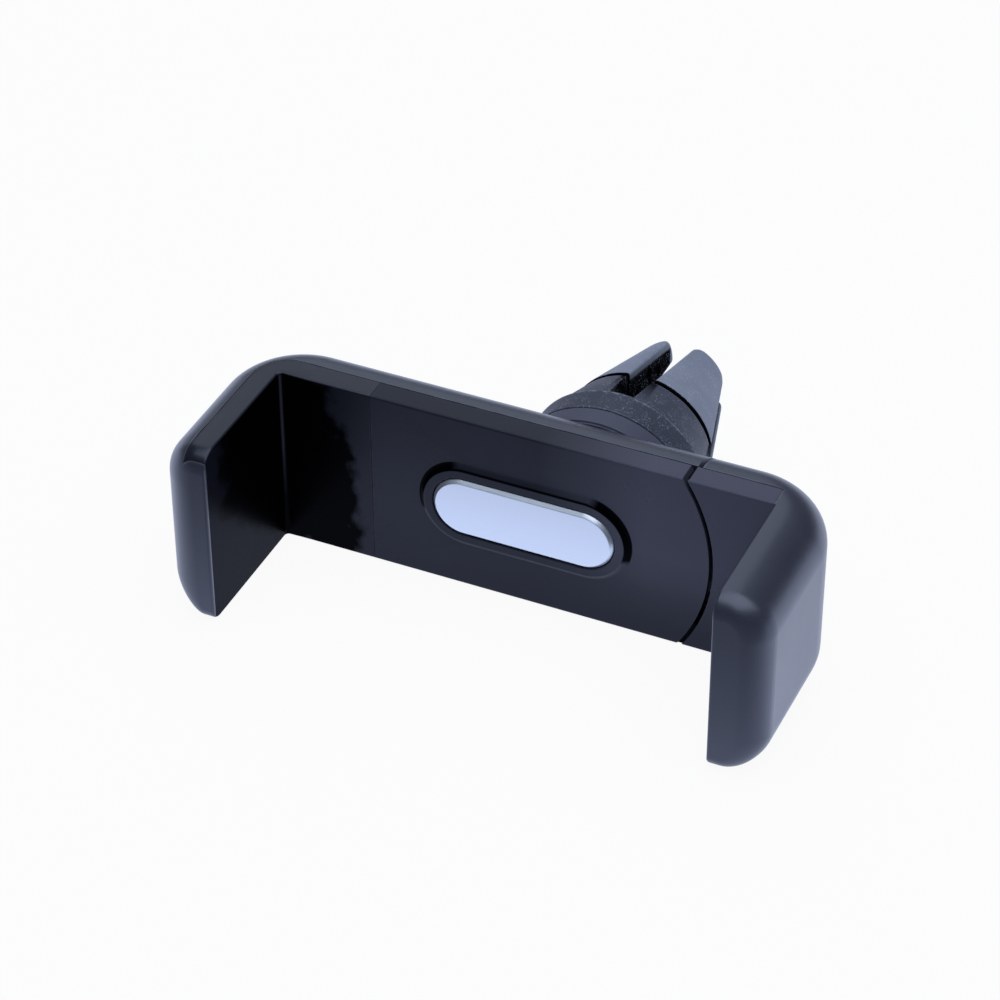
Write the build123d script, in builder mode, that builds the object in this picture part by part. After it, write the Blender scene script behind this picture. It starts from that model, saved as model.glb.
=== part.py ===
from build123d import *
from math import hypot, sqrt
import os

# Air vent phone holder: a spring-loaded cradle with one sliding jaw, and a four-pronged vent clip.
# Origin at the centre of the cradle's face, +X to the sliding jaw, +Y to the vent clip, +Z up.
# All sizes are in millimetres.

# Cradle, seen from above as a wide U
opening = 55.0
height = 21.3
jaw_depth = 15.9
jaw_wall = 5.8
body_depth = 7.5
corner_round = 9.1
edge_round = 4.5
tip_round = 3.2
inner_round = 1.0
wall = 1.5
cut_past = 1.0

# How the mouldings part
front_depth = 2.6
liner_depth = 2.5
liner_corner = 3.5
tip_cap = 2.6
seam_x = -17.0
seam_gap = 0.1
arc_end = 20.9
arc_round = 19.0
arc_gap = 0.45
arc_wall = 2.2
arc_step = 0.55
hook_width = 3.0
hook_reach = 2.0
hook_thick = 1.0
hook_lap = 0.1

# Raised surround and inlay plate on the face
surround_length = 24.0
surround_height = 10.6
surround_rise = 0.6
surround_slope = 0.75
surround_rim = 0.95
surround_x = 0.5
inlay_thick = 1.0
inlay_proud = 0.25
inlay_bevel = 0.35
inlay_fit = 0.08

# Slide
travel = 27.0
slide_clear = 0.15
tongue_width = 8.0
tongue_left = -21.5
rail_width = 1.25
slot_end = -8.0
barb_length = 2.0
barb_reach = 1.0
rib_width = 1.0
jaw_core_inset = 1.0

# Springs that pull the jaw in
wire = 0.4
wire_sides = 4
spring_clear = 0.25
spring_turns = 7
turn_steps = 10
anchor_x = -26.0
pin_radius = 0.6
pin_length = 4.4
pin_boss_wall = 0.5
hook_clear = 0.08

# Screws
screw_radius = 0.7
screw_clear = 0.1
head_radius = 1.5
head_thick = 0.9
head_clear = 0.15
boss_radius = 1.7
boss_clear = 0.15
left_screw_x = -24.0
jaw_screw_x = 24.0
head_sink = 1.25
pilot_floor = 0.7
pilot_spare = 0.3
recess_length = 1.8
recess_width = 0.4
recess_depth = 0.45

# Swivel between cradle and clip
clip_x = 5.9
collar_inset = 0.65
seat_sink = 1.6
seat_wall = 1.4
seat_clear = 0.3
neck_depth = 0.5
neck_width = 0.5
collar_rear = 8.5
post_radius = 1.6
post_run = 0.05
pilot_radius = 0.75
well_floor = 10.6
well_clear = 0.3
washer_radius = 2.3
washer_thick = 0.35
wave_thick = 0.3
swivel_head_radius = 2.1
swivel_head_thick = 1.1

# Vent clip
base_rear = 11.9
base_edge = 0.2
prong_base_radius = 9.6
prong_tip_radius = 4.7
prong_tip = 30.8
sleeve_start = 17.5
sleeve_wall = 0.6
sleeve_gap = 0.2
core_tip = 28.2
sleeve_proud = 0.15
sleeve_fit = 0.03
sleeve_tip_round = 2.4
tongue_round = 2.2
slot_width = 3.4
slot_floor = 12.4
sleeve_edge = 0.4
ridge_radius = 0.35
ridge_proud = 0.22
ridge_pitch = 2.6
ridge_count = 4
ridge_sides = 6
ridge_margin = 1.0

os.makedirs("parts", exist_ok=True)

# Places worked out from the sizes
half_inside = opening / 2
half_outside = half_inside + jaw_wall
half_height = height / 2
hollow_half = half_height - wall
ceiling = body_depth - wall
hollow_corner = hypot(half_inside + wall - half_outside + corner_round, corner_round - ceiling)
hollow_bevel = min(edge_round / 3, 0.75 * (corner_round - wall - hollow_corner))
arc_x = arc_end - arc_round
head_seat = body_depth - head_sink
seat_radius = half_height - collar_inset + seat_clear
collar_radius = half_height - collar_inset
seat_y = body_depth - seat_sink
seat_front = seat_y - seat_wall
tongue_front = wall + slide_clear
tongue_back = seat_front - slide_clear
tongue_half = tongue_width / 2
screw_z = tongue_half + slide_clear + boss_radius + boss_clear
spring_y = (tongue_front + tongue_back) / 2
spring_z = (tongue_half - rail_width - spring_clear) / 2
spring_radius = min((tongue_back - tongue_front) / 2, spring_z + spring_clear / 2) - spring_clear
hook_radius = pin_radius + hook_clear + wire / 2
hook_outer = hook_radius + wire / 2
post_x = slot_end + hook_outer + hook_clear
screw_reach = seat_radius + head_radius + head_clear + screw_clear
right_screw_x = clip_x + sqrt(screw_reach**2 - screw_z**2)
rear_limit = body_depth + jaw_depth
post_rear = well_floor + wave_thick
left_screw_points = ((left_screw_x, screw_z), (left_screw_x, -screw_z))
right_screw_points = ((right_screw_x, screw_z), (right_screw_x, -screw_z))
body_screw_points = left_screw_points + right_screw_points
jaw_screw_points = ((jaw_screw_x, screw_z), (jaw_screw_x, -screw_z))
pin_points = ((anchor_x, spring_z), (anchor_x, -spring_z))


def level(y):
    """A plane facing the phone, y millimetres behind the cradle's face."""
    return Plane.XZ.offset(-y)


# Outer form of the whole cradle, before it is parted into mouldings
with BuildPart() as cradle:
    with BuildSketch(Plane.XY.offset(-half_height)) as plan:
        with Locations((0, (body_depth - jaw_depth) / 2)):
            Rectangle(2 * half_outside, body_depth + jaw_depth)
        fillet(plan.vertices().group_by(Axis.Y)[-1], corner_round)
        with Locations((0, -jaw_depth / 2)):
            Rectangle(opening, jaw_depth, mode=Mode.SUBTRACT)
        fillet(plan.vertices().sort_by_distance((-half_inside, 0))[0], inner_round)
    extrude(amount=height)
    flat_rims = cradle.edges().group_by(Axis.Z)[0] + cradle.edges().group_by(Axis.Z)[-1]
    outer_rims = flat_rims.filter_by(
        lambda e: abs(e.center().X) > half_inside + 0.75 * jaw_wall or e.center().Y > body_depth / 2
    )
    fillet(outer_rims, edge_round)
    tips = cradle.faces().filter_by(Axis.Y).group_by(Axis.Y)[0]
    fillet(tips.edges().filter_by(lambda e: abs(e.center().X) > half_inside + 0.01), tip_round)

# Zones left and right of the curved gap. Behind the face the gap steps to the right, so that no
# light shows through it.
gap_levels = ((-jaw_depth, front_depth, arc_round), (front_depth, body_depth, arc_round + arc_step))
with BuildPart() as fixed_zone:
    for front_y, back_y, still_radius in gap_levels:
        with BuildSketch(level(front_y)):
            with Locations(((arc_x - half_outside) / 2, 0)):
                Rectangle(arc_x + half_outside, 2 * arc_round)
            with Locations((arc_x, 0)):
                Circle(still_radius)
        extrude(amount=front_y - back_y)

with BuildPart() as sliding_zone:
    for front_y, back_y, still_radius in gap_levels:
        with BuildSketch(level(front_y)):
            with Locations(((arc_x + half_outside) / 2, 0)):
                Rectangle(half_outside - arc_x, 2 * arc_round)
            with Locations((arc_x, 0)):
                Circle(still_radius + arc_gap, mode=Mode.SUBTRACT)
        extrude(amount=front_y - back_y)

# Zone of the front mouldings: the band nearest the phone, round the left inner corner
with BuildPart() as front_zone:
    liner_x = -half_inside - liner_depth
    liner_end = -jaw_depth + tip_cap
    with BuildSketch(Plane.XY.offset(-half_height)) as band:
        with Locations(((liner_x + half_inside) / 2, (liner_end + front_depth) / 2)):
            Rectangle(half_inside - liner_x, front_depth - liner_end)
        fillet(band.vertices().sort_by_distance((liner_x, front_depth))[0], liner_corner)
    extrude(amount=height)

# Hollow of the still half, from the left jaw's arm to the wall behind the curved gap
with BuildPart() as body_hollow:
    with BuildSketch(Plane.XY.offset(-hollow_half)) as hollow_plan:
        with Locations(((arc_end - half_outside + wall) / 2, (ceiling - jaw_depth + tip_cap) / 2)):
            Rectangle(arc_end + half_outside - wall, ceiling + jaw_depth - tip_cap)
        fillet(
            hollow_plan.vertices().sort_by_distance((wall - half_outside, ceiling))[0],
            corner_round - wall,
        )
        with Locations(((arc_end - half_inside - wall) / 2, (wall - jaw_depth) / 2)):
            Rectangle(arc_end + half_inside + wall, jaw_depth + wall, mode=Mode.SUBTRACT)
    extrude(amount=2 * hollow_half)
    hollow_rims = body_hollow.edges().group_by(Axis.Z)[0] + body_hollow.edges().group_by(Axis.Z)[-1]
    deep_rims = hollow_rims.filter_by(
        lambda e: e.center().X < wall - half_outside + 0.01 or e.center().Y > 0.6 * ceiling + 0.4 * wall
    )
    chamfer(deep_rims, hollow_bevel)
    with BuildSketch(level(-jaw_depth)):
        with Locations(((arc_x - half_outside) / 2, 0)):
            Rectangle(arc_x + half_outside, 2 * half_height)
        with Locations((arc_x, 0)):
            Circle(arc_round - arc_wall)
    extrude(amount=-rear_limit, mode=Mode.INTERSECT)

# Hollow of the sliding half, behind its cover
with BuildPart() as jaw_hollow:
    jaw_core_x = half_inside - jaw_core_inset
    with BuildSketch(Plane.YZ.offset(arc_x)) as core_section:
        with Locations(((wall + ceiling) / 2, 0)):
            Rectangle(ceiling - wall, 2 * hollow_half)
        chamfer(core_section.vertices().group_by(Axis.X)[-1], hollow_bevel)
    extrude(amount=jaw_core_x - arc_x)
    with BuildSketch(level(0)):
        with Locations((arc_x, 0)):
            Circle(arc_round + arc_step + arc_gap + wall)
    extrude(amount=-body_depth, mode=Mode.SUBTRACT)

# Way through the end walls for the sliding tongue
with BuildPart() as tongue_way:
    with BuildSketch(level(wall)):
        with Locations(((arc_x + arc_end) / 2, 0)):
            Rectangle(arc_end - arc_x + 2 * cut_past, tongue_width + 2 * slide_clear)
    extrude(amount=-(seat_front - wall))

# Back shell: the whole back of the still half and the outer skin of the left jaw
with BuildPart() as back_shell:
    add(cradle.part)
    add(fixed_zone.part, mode=Mode.INTERSECT)
    add(front_zone.part, mode=Mode.SUBTRACT)
    add(body_hollow.part, mode=Mode.SUBTRACT)
    # Thicker floor under the swivel seat
    with BuildSketch(level(seat_front)):
        with Locations((clip_x, 0)):
            Circle(seat_radius + wall)
        with Locations((clip_x, 0)):
            Rectangle(2 * (seat_radius + wall), 2 * hollow_half, mode=Mode.INTERSECT)
    extrude(amount=-(ceiling - seat_front))
    # Guide ribs beside the tongue, which also stop its barbs at full travel
    rib_left = tongue_left + barb_length + travel + slide_clear
    rib_right = arc_end - arc_wall
    rib_z = tongue_half + slide_clear + rib_width / 2
    with BuildSketch(level(front_depth)):
        with Locations(((rib_left + rib_right) / 2, rib_z), ((rib_left + rib_right) / 2, -rib_z)):
            Rectangle(rib_right - rib_left, rib_width)
    extrude(amount=-(ceiling - front_depth))
    # Screw bosses and the bosses that hold the spring pins
    with BuildSketch(level(front_depth)):
        with Locations(*body_screw_points):
            Circle(boss_radius)
    extrude(amount=-(ceiling - front_depth))
    with BuildSketch(level(tongue_back)):
        with Locations(*pin_points):
            Circle(pin_radius + pin_boss_wall)
    extrude(amount=-(ceiling - tongue_back))
    add(tongue_way.part, mode=Mode.SUBTRACT)
    # Swivel seat and its post
    with BuildSketch(level(seat_y)):
        with Locations((clip_x, 0)):
            Circle(seat_radius)
    extrude(amount=-seat_sink - cut_past, mode=Mode.SUBTRACT)
    with BuildSketch(level(seat_y)):
        with Locations((clip_x, 0)):
            Circle(post_radius)
    extrude(amount=-(post_rear - seat_y))
    with BuildSketch(level(seat_front + pilot_floor)):
        with Locations((clip_x, 0)):
            Circle(pilot_radius)
    extrude(amount=-(post_rear - seat_front), mode=Mode.SUBTRACT)
    # Screw holes with sunk heads
    with BuildSketch(level(front_depth)):
        with Locations(*body_screw_points):
            Circle(screw_radius + screw_clear)
    extrude(amount=-body_depth, mode=Mode.SUBTRACT)
    with BuildSketch(level(head_seat)):
        with Locations(*body_screw_points):
            Circle(head_radius + head_clear)
    extrude(amount=-body_depth, mode=Mode.SUBTRACT)
    # Sockets for the spring pins
    with BuildSketch(level(tongue_front)):
        with Locations(*pin_points):
            Circle(pin_radius)
    extrude(amount=-pin_length, mode=Mode.SUBTRACT)
back_shell.part.label = "back_shell"
export_step(back_shell.part, "parts/back_shell.step")

# Left jaw liner: the glossy inner skin of the left jaw, turning onto the face as far as the seam
with BuildPart() as left_jaw_liner:
    add(cradle.part)
    add(front_zone.part, mode=Mode.INTERSECT)
    add(body_hollow.part, mode=Mode.SUBTRACT)
    with BuildSketch(level(-jaw_depth)):
        with Locations(((seam_x - seam_gap - half_outside) / 2, 0)):
            Rectangle(half_outside + seam_x - seam_gap, height)
    extrude(amount=-rear_limit, mode=Mode.INTERSECT)
    with BuildSketch(level(wall)):
        with Locations(*left_screw_points):
            Circle(boss_radius)
    extrude(amount=-(front_depth - wall))
    with BuildSketch(level(pilot_floor)):
        with Locations(*left_screw_points):
            Circle(screw_radius)
    extrude(amount=-front_depth, mode=Mode.SUBTRACT)
left_jaw_liner.part.label = "left_jaw_liner"
export_step(left_jaw_liner.part, "parts/left_jaw_liner.step")

# Front panel: the face of the still half, with the raised surround and the pocket of the inlay
with BuildPart() as front_panel:
    rim_length = surround_length - 2 * surround_slope
    rim_height = surround_height - 2 * surround_slope
    inlay_length = rim_length - 2 * surround_rim
    inlay_height = rim_height - 2 * surround_rim
    add(cradle.part)
    add(front_zone.part, mode=Mode.INTERSECT)
    add(fixed_zone.part, mode=Mode.INTERSECT)
    add(body_hollow.part, mode=Mode.SUBTRACT)
    with BuildSketch(level(-jaw_depth)):
        with Locations(((seam_x + half_outside) / 2, 0)):
            Rectangle(half_outside - seam_x, height)
    extrude(amount=-rear_limit, mode=Mode.INTERSECT)
    # Surround with sloping sides
    with BuildSketch(level(0)):
        with Locations((surround_x, 0)):
            SlotOverall(surround_length, surround_height)
    with BuildSketch(level(-surround_rise)):
        with Locations((surround_x, 0)):
            SlotOverall(rim_length, rim_height)
    loft()
    # Hooks that reach behind the liner at the seam
    hook_z = (tongue_half + hollow_half) / 2
    with BuildSketch(level(wall - hook_lap)):
        with Locations((seam_x + hook_reach / 2, hook_z), (seam_x + hook_reach / 2, -hook_z)):
            Rectangle(hook_reach, hook_width)
    extrude(amount=-hook_thick - hook_lap)
    with BuildSketch(level(wall + seam_gap)):
        with Locations((seam_x, hook_z), (seam_x, -hook_z)):
            Rectangle(2 * hook_reach, hook_width)
    extrude(amount=seam_gap - hook_thick)
    # Bosses and pilot holes of the right-hand screws
    with BuildSketch(level(wall)):
        with Locations(*right_screw_points):
            Circle(boss_radius)
    extrude(amount=-(front_depth - wall))
    with BuildSketch(level(pilot_floor)):
        with Locations(*right_screw_points):
            Circle(screw_radius)
    extrude(amount=-front_depth, mode=Mode.SUBTRACT)
    add(tongue_way.part, mode=Mode.SUBTRACT)
    # Pocket of the inlay plate
    with BuildSketch(level(inlay_thick - inlay_proud - surround_rise)):
        with Locations((surround_x, 0)):
            SlotOverall(inlay_length, inlay_height)
    extrude(amount=inlay_thick + cut_past, mode=Mode.SUBTRACT)
front_panel.part.label = "front_panel"
export_step(front_panel.part, "parts/front_panel.step")

# Inlay plate: a thin oval plate with a bevelled edge, glued into the surround
with BuildPart() as inlay_plate:
    with BuildSketch(level(inlay_thick - inlay_proud - surround_rise)):
        with Locations((surround_x, 0)):
            SlotOverall(inlay_length - 2 * inlay_fit, inlay_height - 2 * inlay_fit)
    extrude(amount=inlay_thick)
    chamfer(inlay_plate.faces().sort_by(Axis.Y)[0].edges(), inlay_bevel)
inlay_plate.part.label = "inlay_plate"
export_step(inlay_plate.part, "parts/inlay_plate.step")

# Sliding jaw: back half, right arm and tongue in one moulding
with BuildPart() as sliding_jaw:
    add(cradle.part)
    add(sliding_zone.part, mode=Mode.INTERSECT)
    add(front_zone.part, mode=Mode.SUBTRACT)
    add(jaw_hollow.part, mode=Mode.SUBTRACT)
    # Root of the tongue and screw bosses inside the hollow
    jaw_wall_x = arc_end + arc_step + arc_gap
    with BuildSketch(level(tongue_front)):
        with Locations(((jaw_wall_x + jaw_core_x) / 2, 0)):
            Rectangle(jaw_core_x - jaw_wall_x, tongue_width)
    extrude(amount=-(ceiling - tongue_front))
    with BuildSketch(level(front_depth)):
        with Locations(*jaw_screw_points):
            Circle(boss_radius)
    extrude(amount=-(ceiling - front_depth))
    # Tongue: two rails joined at the right, with stop barbs at the left end
    with BuildSketch(level(tongue_front)):
        with Locations(((tongue_left + jaw_core_x) / 2, 0)):
            Rectangle(jaw_core_x - tongue_left, tongue_width)
        with BuildLine():
            Polyline(
                (tongue_left, tongue_half - rail_width / 2),
                (tongue_left, tongue_half),
                (tongue_left + barb_reach, tongue_half + barb_reach),
                (tongue_left + barb_length, tongue_half + barb_reach),
                (tongue_left + barb_length, tongue_half - rail_width / 2),
                close=True,
            )
        make_face()
        mirror(about=Plane.XZ)
        with Locations(((tongue_left + slot_end) / 2, 0)):
            Rectangle(slot_end - tongue_left, tongue_width - 2 * rail_width, mode=Mode.SUBTRACT)
    extrude(amount=-(tongue_back - tongue_front))
    # Pocket at the end of the slot, with a post for each spring's hook
    with BuildSketch(level(tongue_front)):
        with Locations((slot_end + hook_outer + hook_clear, 0)):
            Rectangle(2 * (hook_outer + hook_clear), 2 * (spring_z + hook_outer + hook_clear))
        with Locations((post_x, spring_z), (post_x, -spring_z)):
            Circle(pin_radius, mode=Mode.SUBTRACT)
    extrude(amount=-(spring_y + wire / 2 + hook_clear - tongue_front), mode=Mode.SUBTRACT)
    # Screw holes with sunk heads
    with BuildSketch(level(front_depth)):
        with Locations(*jaw_screw_points):
            Circle(screw_radius + screw_clear)
    extrude(amount=-body_depth, mode=Mode.SUBTRACT)
    with BuildSketch(level(head_seat)):
        with Locations(*jaw_screw_points):
            Circle(head_radius + head_clear)
    extrude(amount=-body_depth, mode=Mode.SUBTRACT)
sliding_jaw.part.label = "sliding_jaw"
export_step(sliding_jaw.part, "parts/sliding_jaw.step")

# Sliding jaw cover: the face of the sliding half, from the curved gap to the inner corner
with BuildPart() as sliding_jaw_cover:
    add(cradle.part)
    add(sliding_zone.part, mode=Mode.INTERSECT)
    add(front_zone.part, mode=Mode.INTERSECT)
    add(jaw_hollow.part, mode=Mode.SUBTRACT)
    with BuildSketch(level(wall)):
        with Locations(*jaw_screw_points):
            Circle(boss_radius)
    extrude(amount=-(front_depth - wall))
    with BuildSketch(level(pilot_floor)):
        with Locations(*jaw_screw_points):
            Circle(screw_radius)
    extrude(amount=-front_depth, mode=Mode.SUBTRACT)
    with BuildSketch(level(tongue_front)):
        with Locations(((arc_x + half_inside) / 2, 0)):
            Rectangle(half_inside - arc_x, tongue_width)
    extrude(amount=-front_depth, mode=Mode.SUBTRACT)
sliding_jaw_cover.part.label = "sliding_jaw_cover"
export_step(sliding_jaw_cover.part, "parts/sliding_jaw_cover.step")

# Self-tapping screws, put in from the back
screw_front = pilot_floor + pilot_spare
with BuildPart() as body_screws:
    with BuildSketch(level(head_seat)):
        with Locations(*body_screw_points):
            Circle(head_radius)
    extrude(amount=-head_thick)
    with BuildSketch(level(screw_front)):
        with Locations(*body_screw_points):
            Circle(screw_radius)
    extrude(amount=-(head_seat - screw_front))
    with BuildSketch(level(head_seat + head_thick - recess_depth)):
        with Locations(*body_screw_points):
            Rectangle(recess_length, recess_width)
            Rectangle(recess_width, recess_length)
    extrude(amount=-recess_depth, mode=Mode.SUBTRACT)
body_screws.part.label = "body_screws"
export_step(body_screws.part, "parts/body_screws.step")

with BuildPart() as jaw_cover_screws:
    with BuildSketch(level(head_seat)):
        with Locations(*jaw_screw_points):
            Circle(head_radius)
    extrude(amount=-head_thick)
    with BuildSketch(level(screw_front)):
        with Locations(*jaw_screw_points):
            Circle(screw_radius)
    extrude(amount=-(head_seat - screw_front))
    with BuildSketch(level(head_seat + head_thick - recess_depth)):
        with Locations(*jaw_screw_points):
            Rectangle(recess_length, recess_width)
            Rectangle(recess_width, recess_length)
    extrude(amount=-recess_depth, mode=Mode.SUBTRACT)
jaw_cover_screws.part.label = "jaw_cover_screws"
export_step(jaw_cover_screws.part, "parts/jaw_cover_screws.step")

# Steel pins that anchor the springs in the back shell
with BuildPart() as spring_pins:
    with BuildSketch(level(tongue_front)):
        with Locations(*pin_points):
            Circle(pin_radius)
    extrude(amount=-pin_length)
spring_pins.part.label = "spring_pins"
export_step(spring_pins.part, "parts/spring_pins.step")

# Extension springs, one above the other, from the pins in the back shell to the posts of the tongue
coil_radius = spring_radius - wire / 2
coil_left = anchor_x + hook_outer + wire
coil_right = slot_end - wire
coil_length = coil_right - coil_left
coil_steps = spring_turns * turn_steps
for name, side in (("upper_spring", 1), ("lower_spring", -1)):
    axis_z = side * spring_z
    with BuildPart() as spring:
        turns = Helix(
            pitch=coil_length / spring_turns,
            height=coil_length,
            radius=coil_radius,
            center=(coil_left, spring_y, axis_z),
            direction=(1, 0, 0),
        )
        with BuildLine() as coil:
            Polyline(*[turns @ (step / coil_steps) for step in range(coil_steps + 1)])
        with BuildSketch(Plane(origin=turns @ 0, z_dir=turns @ (1 / coil_steps) - turns @ 0)):
            RegularPolygon(radius=wire / 2, side_count=wire_sides)
        sweep(path=coil.line, transition=Transition.RIGHT)
        # A hook at each end, turned about its pin, and the bent end that joins it to the coil
        for hook_x, inner_x, coil_end in (
            (anchor_x, anchor_x + hook_radius, turns @ 0),
            (post_x, post_x - hook_radius, turns @ 1),
        ):
            with BuildSketch(Plane(origin=(hook_x, spring_y, axis_z))):
                with Locations((hook_radius, 0)):
                    RegularPolygon(radius=wire / 2, side_count=wire_sides)
            revolve(axis=Axis((hook_x, spring_y, axis_z), (0, 1, 0)))
            arm_start = Vector(inner_x, spring_y, axis_z)
            arm = coil_end - arm_start
            with BuildSketch(Plane(origin=arm_start, z_dir=arm)):
                RegularPolygon(radius=wire / 2, side_count=wire_sides)
            extrude(amount=arm.length)
    spring.part.label = name
    export_step(spring.part, "parts/" + name + ".step")

# Swivel collar: a smooth ring seated in the back shell, on which the clip turns
with BuildPart() as swivel_collar:
    with BuildSketch(level(seat_y)):
        with Locations((clip_x, 0)):
            Circle(collar_radius - neck_depth)
    extrude(amount=-neck_width)
    with BuildSketch(level(seat_y + neck_width)):
        with Locations((clip_x, 0)):
            Circle(collar_radius)
    extrude(amount=-(collar_rear - seat_y - neck_width))
    with BuildSketch(level(seat_y)):
        with Locations((clip_x, 0)):
            Circle(post_radius + post_run)
    extrude(amount=-(collar_rear - seat_y), mode=Mode.SUBTRACT)
    chamfer(swivel_collar.faces().sort_by(Axis.Y)[-1].outer_wire().edges(), base_edge)
swivel_collar.part.label = "swivel_collar"
export_step(swivel_collar.part, "parts/swivel_collar.step")

# Parts that hold the clip on the post: a wave washer for friction, a flat washer and a screw
with BuildPart() as swivel_wave_washer:
    with BuildSketch(level(well_floor)):
        with Locations((clip_x, 0)):
            Circle(washer_radius)
            Circle(post_radius + post_run, mode=Mode.SUBTRACT)
    extrude(amount=-wave_thick)
swivel_wave_washer.part.label = "swivel_wave_washer"
export_step(swivel_wave_washer.part, "parts/swivel_wave_washer.step")

with BuildPart() as swivel_washer:
    with BuildSketch(level(post_rear)):
        with Locations((clip_x, 0)):
            Circle(washer_radius)
            Circle(pilot_radius + screw_clear, mode=Mode.SUBTRACT)
    extrude(amount=-washer_thick)
swivel_washer.part.label = "swivel_washer"
export_step(swivel_washer.part, "parts/swivel_washer.step")

head_front = post_rear + washer_thick
with BuildPart() as swivel_screw:
    with BuildSketch(level(head_front)):
        with Locations((clip_x, 0)):
            Circle(swivel_head_radius)
    extrude(amount=-swivel_head_thick)
    chamfer(swivel_screw.faces().sort_by(Axis.Y)[-1].edges(), swivel_head_thick / 3)
    with BuildSketch(level(seat_front + pilot_floor + pilot_spare)):
        with Locations((clip_x, 0)):
            Circle(pilot_radius)
    extrude(amount=-(head_front - seat_front - pilot_floor - pilot_spare))
    with BuildSketch(level(head_front + swivel_head_thick - recess_depth)):
        with Locations((clip_x, 0)):
            Rectangle(swivel_head_radius, recess_width)
            Rectangle(recess_width, swivel_head_radius)
    extrude(amount=-recess_depth, mode=Mode.SUBTRACT)
swivel_screw.part.label = "swivel_screw"
export_step(swivel_screw.part, "parts/swivel_screw.step")

# Places on the clip, whose forms are turned about its own axis
clip_plane = Plane(origin=(clip_x, 0, 0))
clip_axis = Axis((clip_x, 0, 0), (0, 1, 0))
taper = (prong_base_radius - prong_tip_radius) / (prong_tip - slot_floor)
start_radius = prong_base_radius - taper * (sleeve_start - slot_floor)
dome_start = prong_tip - sleeve_tip_round
dome_radius = prong_tip_radius + taper * sleeve_tip_round + sleeve_proud
core_tip_radius = prong_base_radius - taper * (core_tip - slot_floor) - sleeve_wall
prong_face = slot_width / 2

# Clip core: turntable and four prongs in one moulding
with BuildPart() as clip_core:
    with BuildSketch(level(collar_rear)):
        with Locations((clip_x, 0)):
            Circle(collar_radius)
    extrude(amount=-(base_rear - collar_rear))
    chamfer(clip_core.edges().filter_by(GeomType.CIRCLE), base_edge)
    with BuildSketch(clip_plane):
        with BuildLine():
            Polyline(
                (0, base_rear - base_edge),
                (prong_base_radius, base_rear - base_edge),
                (prong_base_radius, slot_floor),
                (start_radius, sleeve_start),
                (start_radius - sleeve_wall, sleeve_start),
                (core_tip_radius, core_tip),
                (0, core_tip),
                close=True,
            )
        make_face()
    revolve(axis=clip_axis)
    # Two crossing slots, the well of the swivel screw and the bore for the post
    with BuildSketch(level(slot_floor)):
        with Locations((clip_x, 0)):
            Rectangle(slot_width, height)
            Rectangle(height, slot_width)
    extrude(amount=-(prong_tip - slot_floor), mode=Mode.SUBTRACT)
    with BuildSketch(level(sleeve_start)):
        with Locations((clip_x, 0)):
            Rectangle(slot_width + 2 * sleeve_wall, height)
            Rectangle(height, slot_width + 2 * sleeve_wall)
    extrude(amount=-(prong_tip - sleeve_start), mode=Mode.SUBTRACT)
    with BuildSketch(level(well_floor)):
        with Locations((clip_x, 0)):
            Circle(washer_radius + well_clear)
    extrude(amount=-(slot_floor - well_floor), mode=Mode.SUBTRACT)
    with BuildSketch(level(collar_rear)):
        with Locations((clip_x, 0)):
            Circle(post_radius + post_run)
    extrude(amount=-(well_floor - collar_rear), mode=Mode.SUBTRACT)
clip_core.part.label = "clip_core"
export_step(clip_core.part, "parts/clip_core.step")

# Room that one prong of the core takes inside its sleeve
with BuildPart() as prong_room:
    with BuildSketch(clip_plane):
        with BuildLine():
            Polyline(
                (0, sleeve_start),
                (start_radius - sleeve_wall + sleeve_fit, sleeve_start),
                (core_tip_radius + sleeve_fit, core_tip),
                (0, core_tip),
                close=True,
            )
        make_face()
    revolve(axis=clip_axis)
    room_centre = prong_face + sleeve_wall - sleeve_fit + half_height / 2
    with BuildSketch(level(sleeve_start)):
        with Locations((clip_x + room_centre, room_centre)):
            Rectangle(half_height, half_height)
    extrude(amount=-prong_tip, mode=Mode.INTERSECT)

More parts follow.
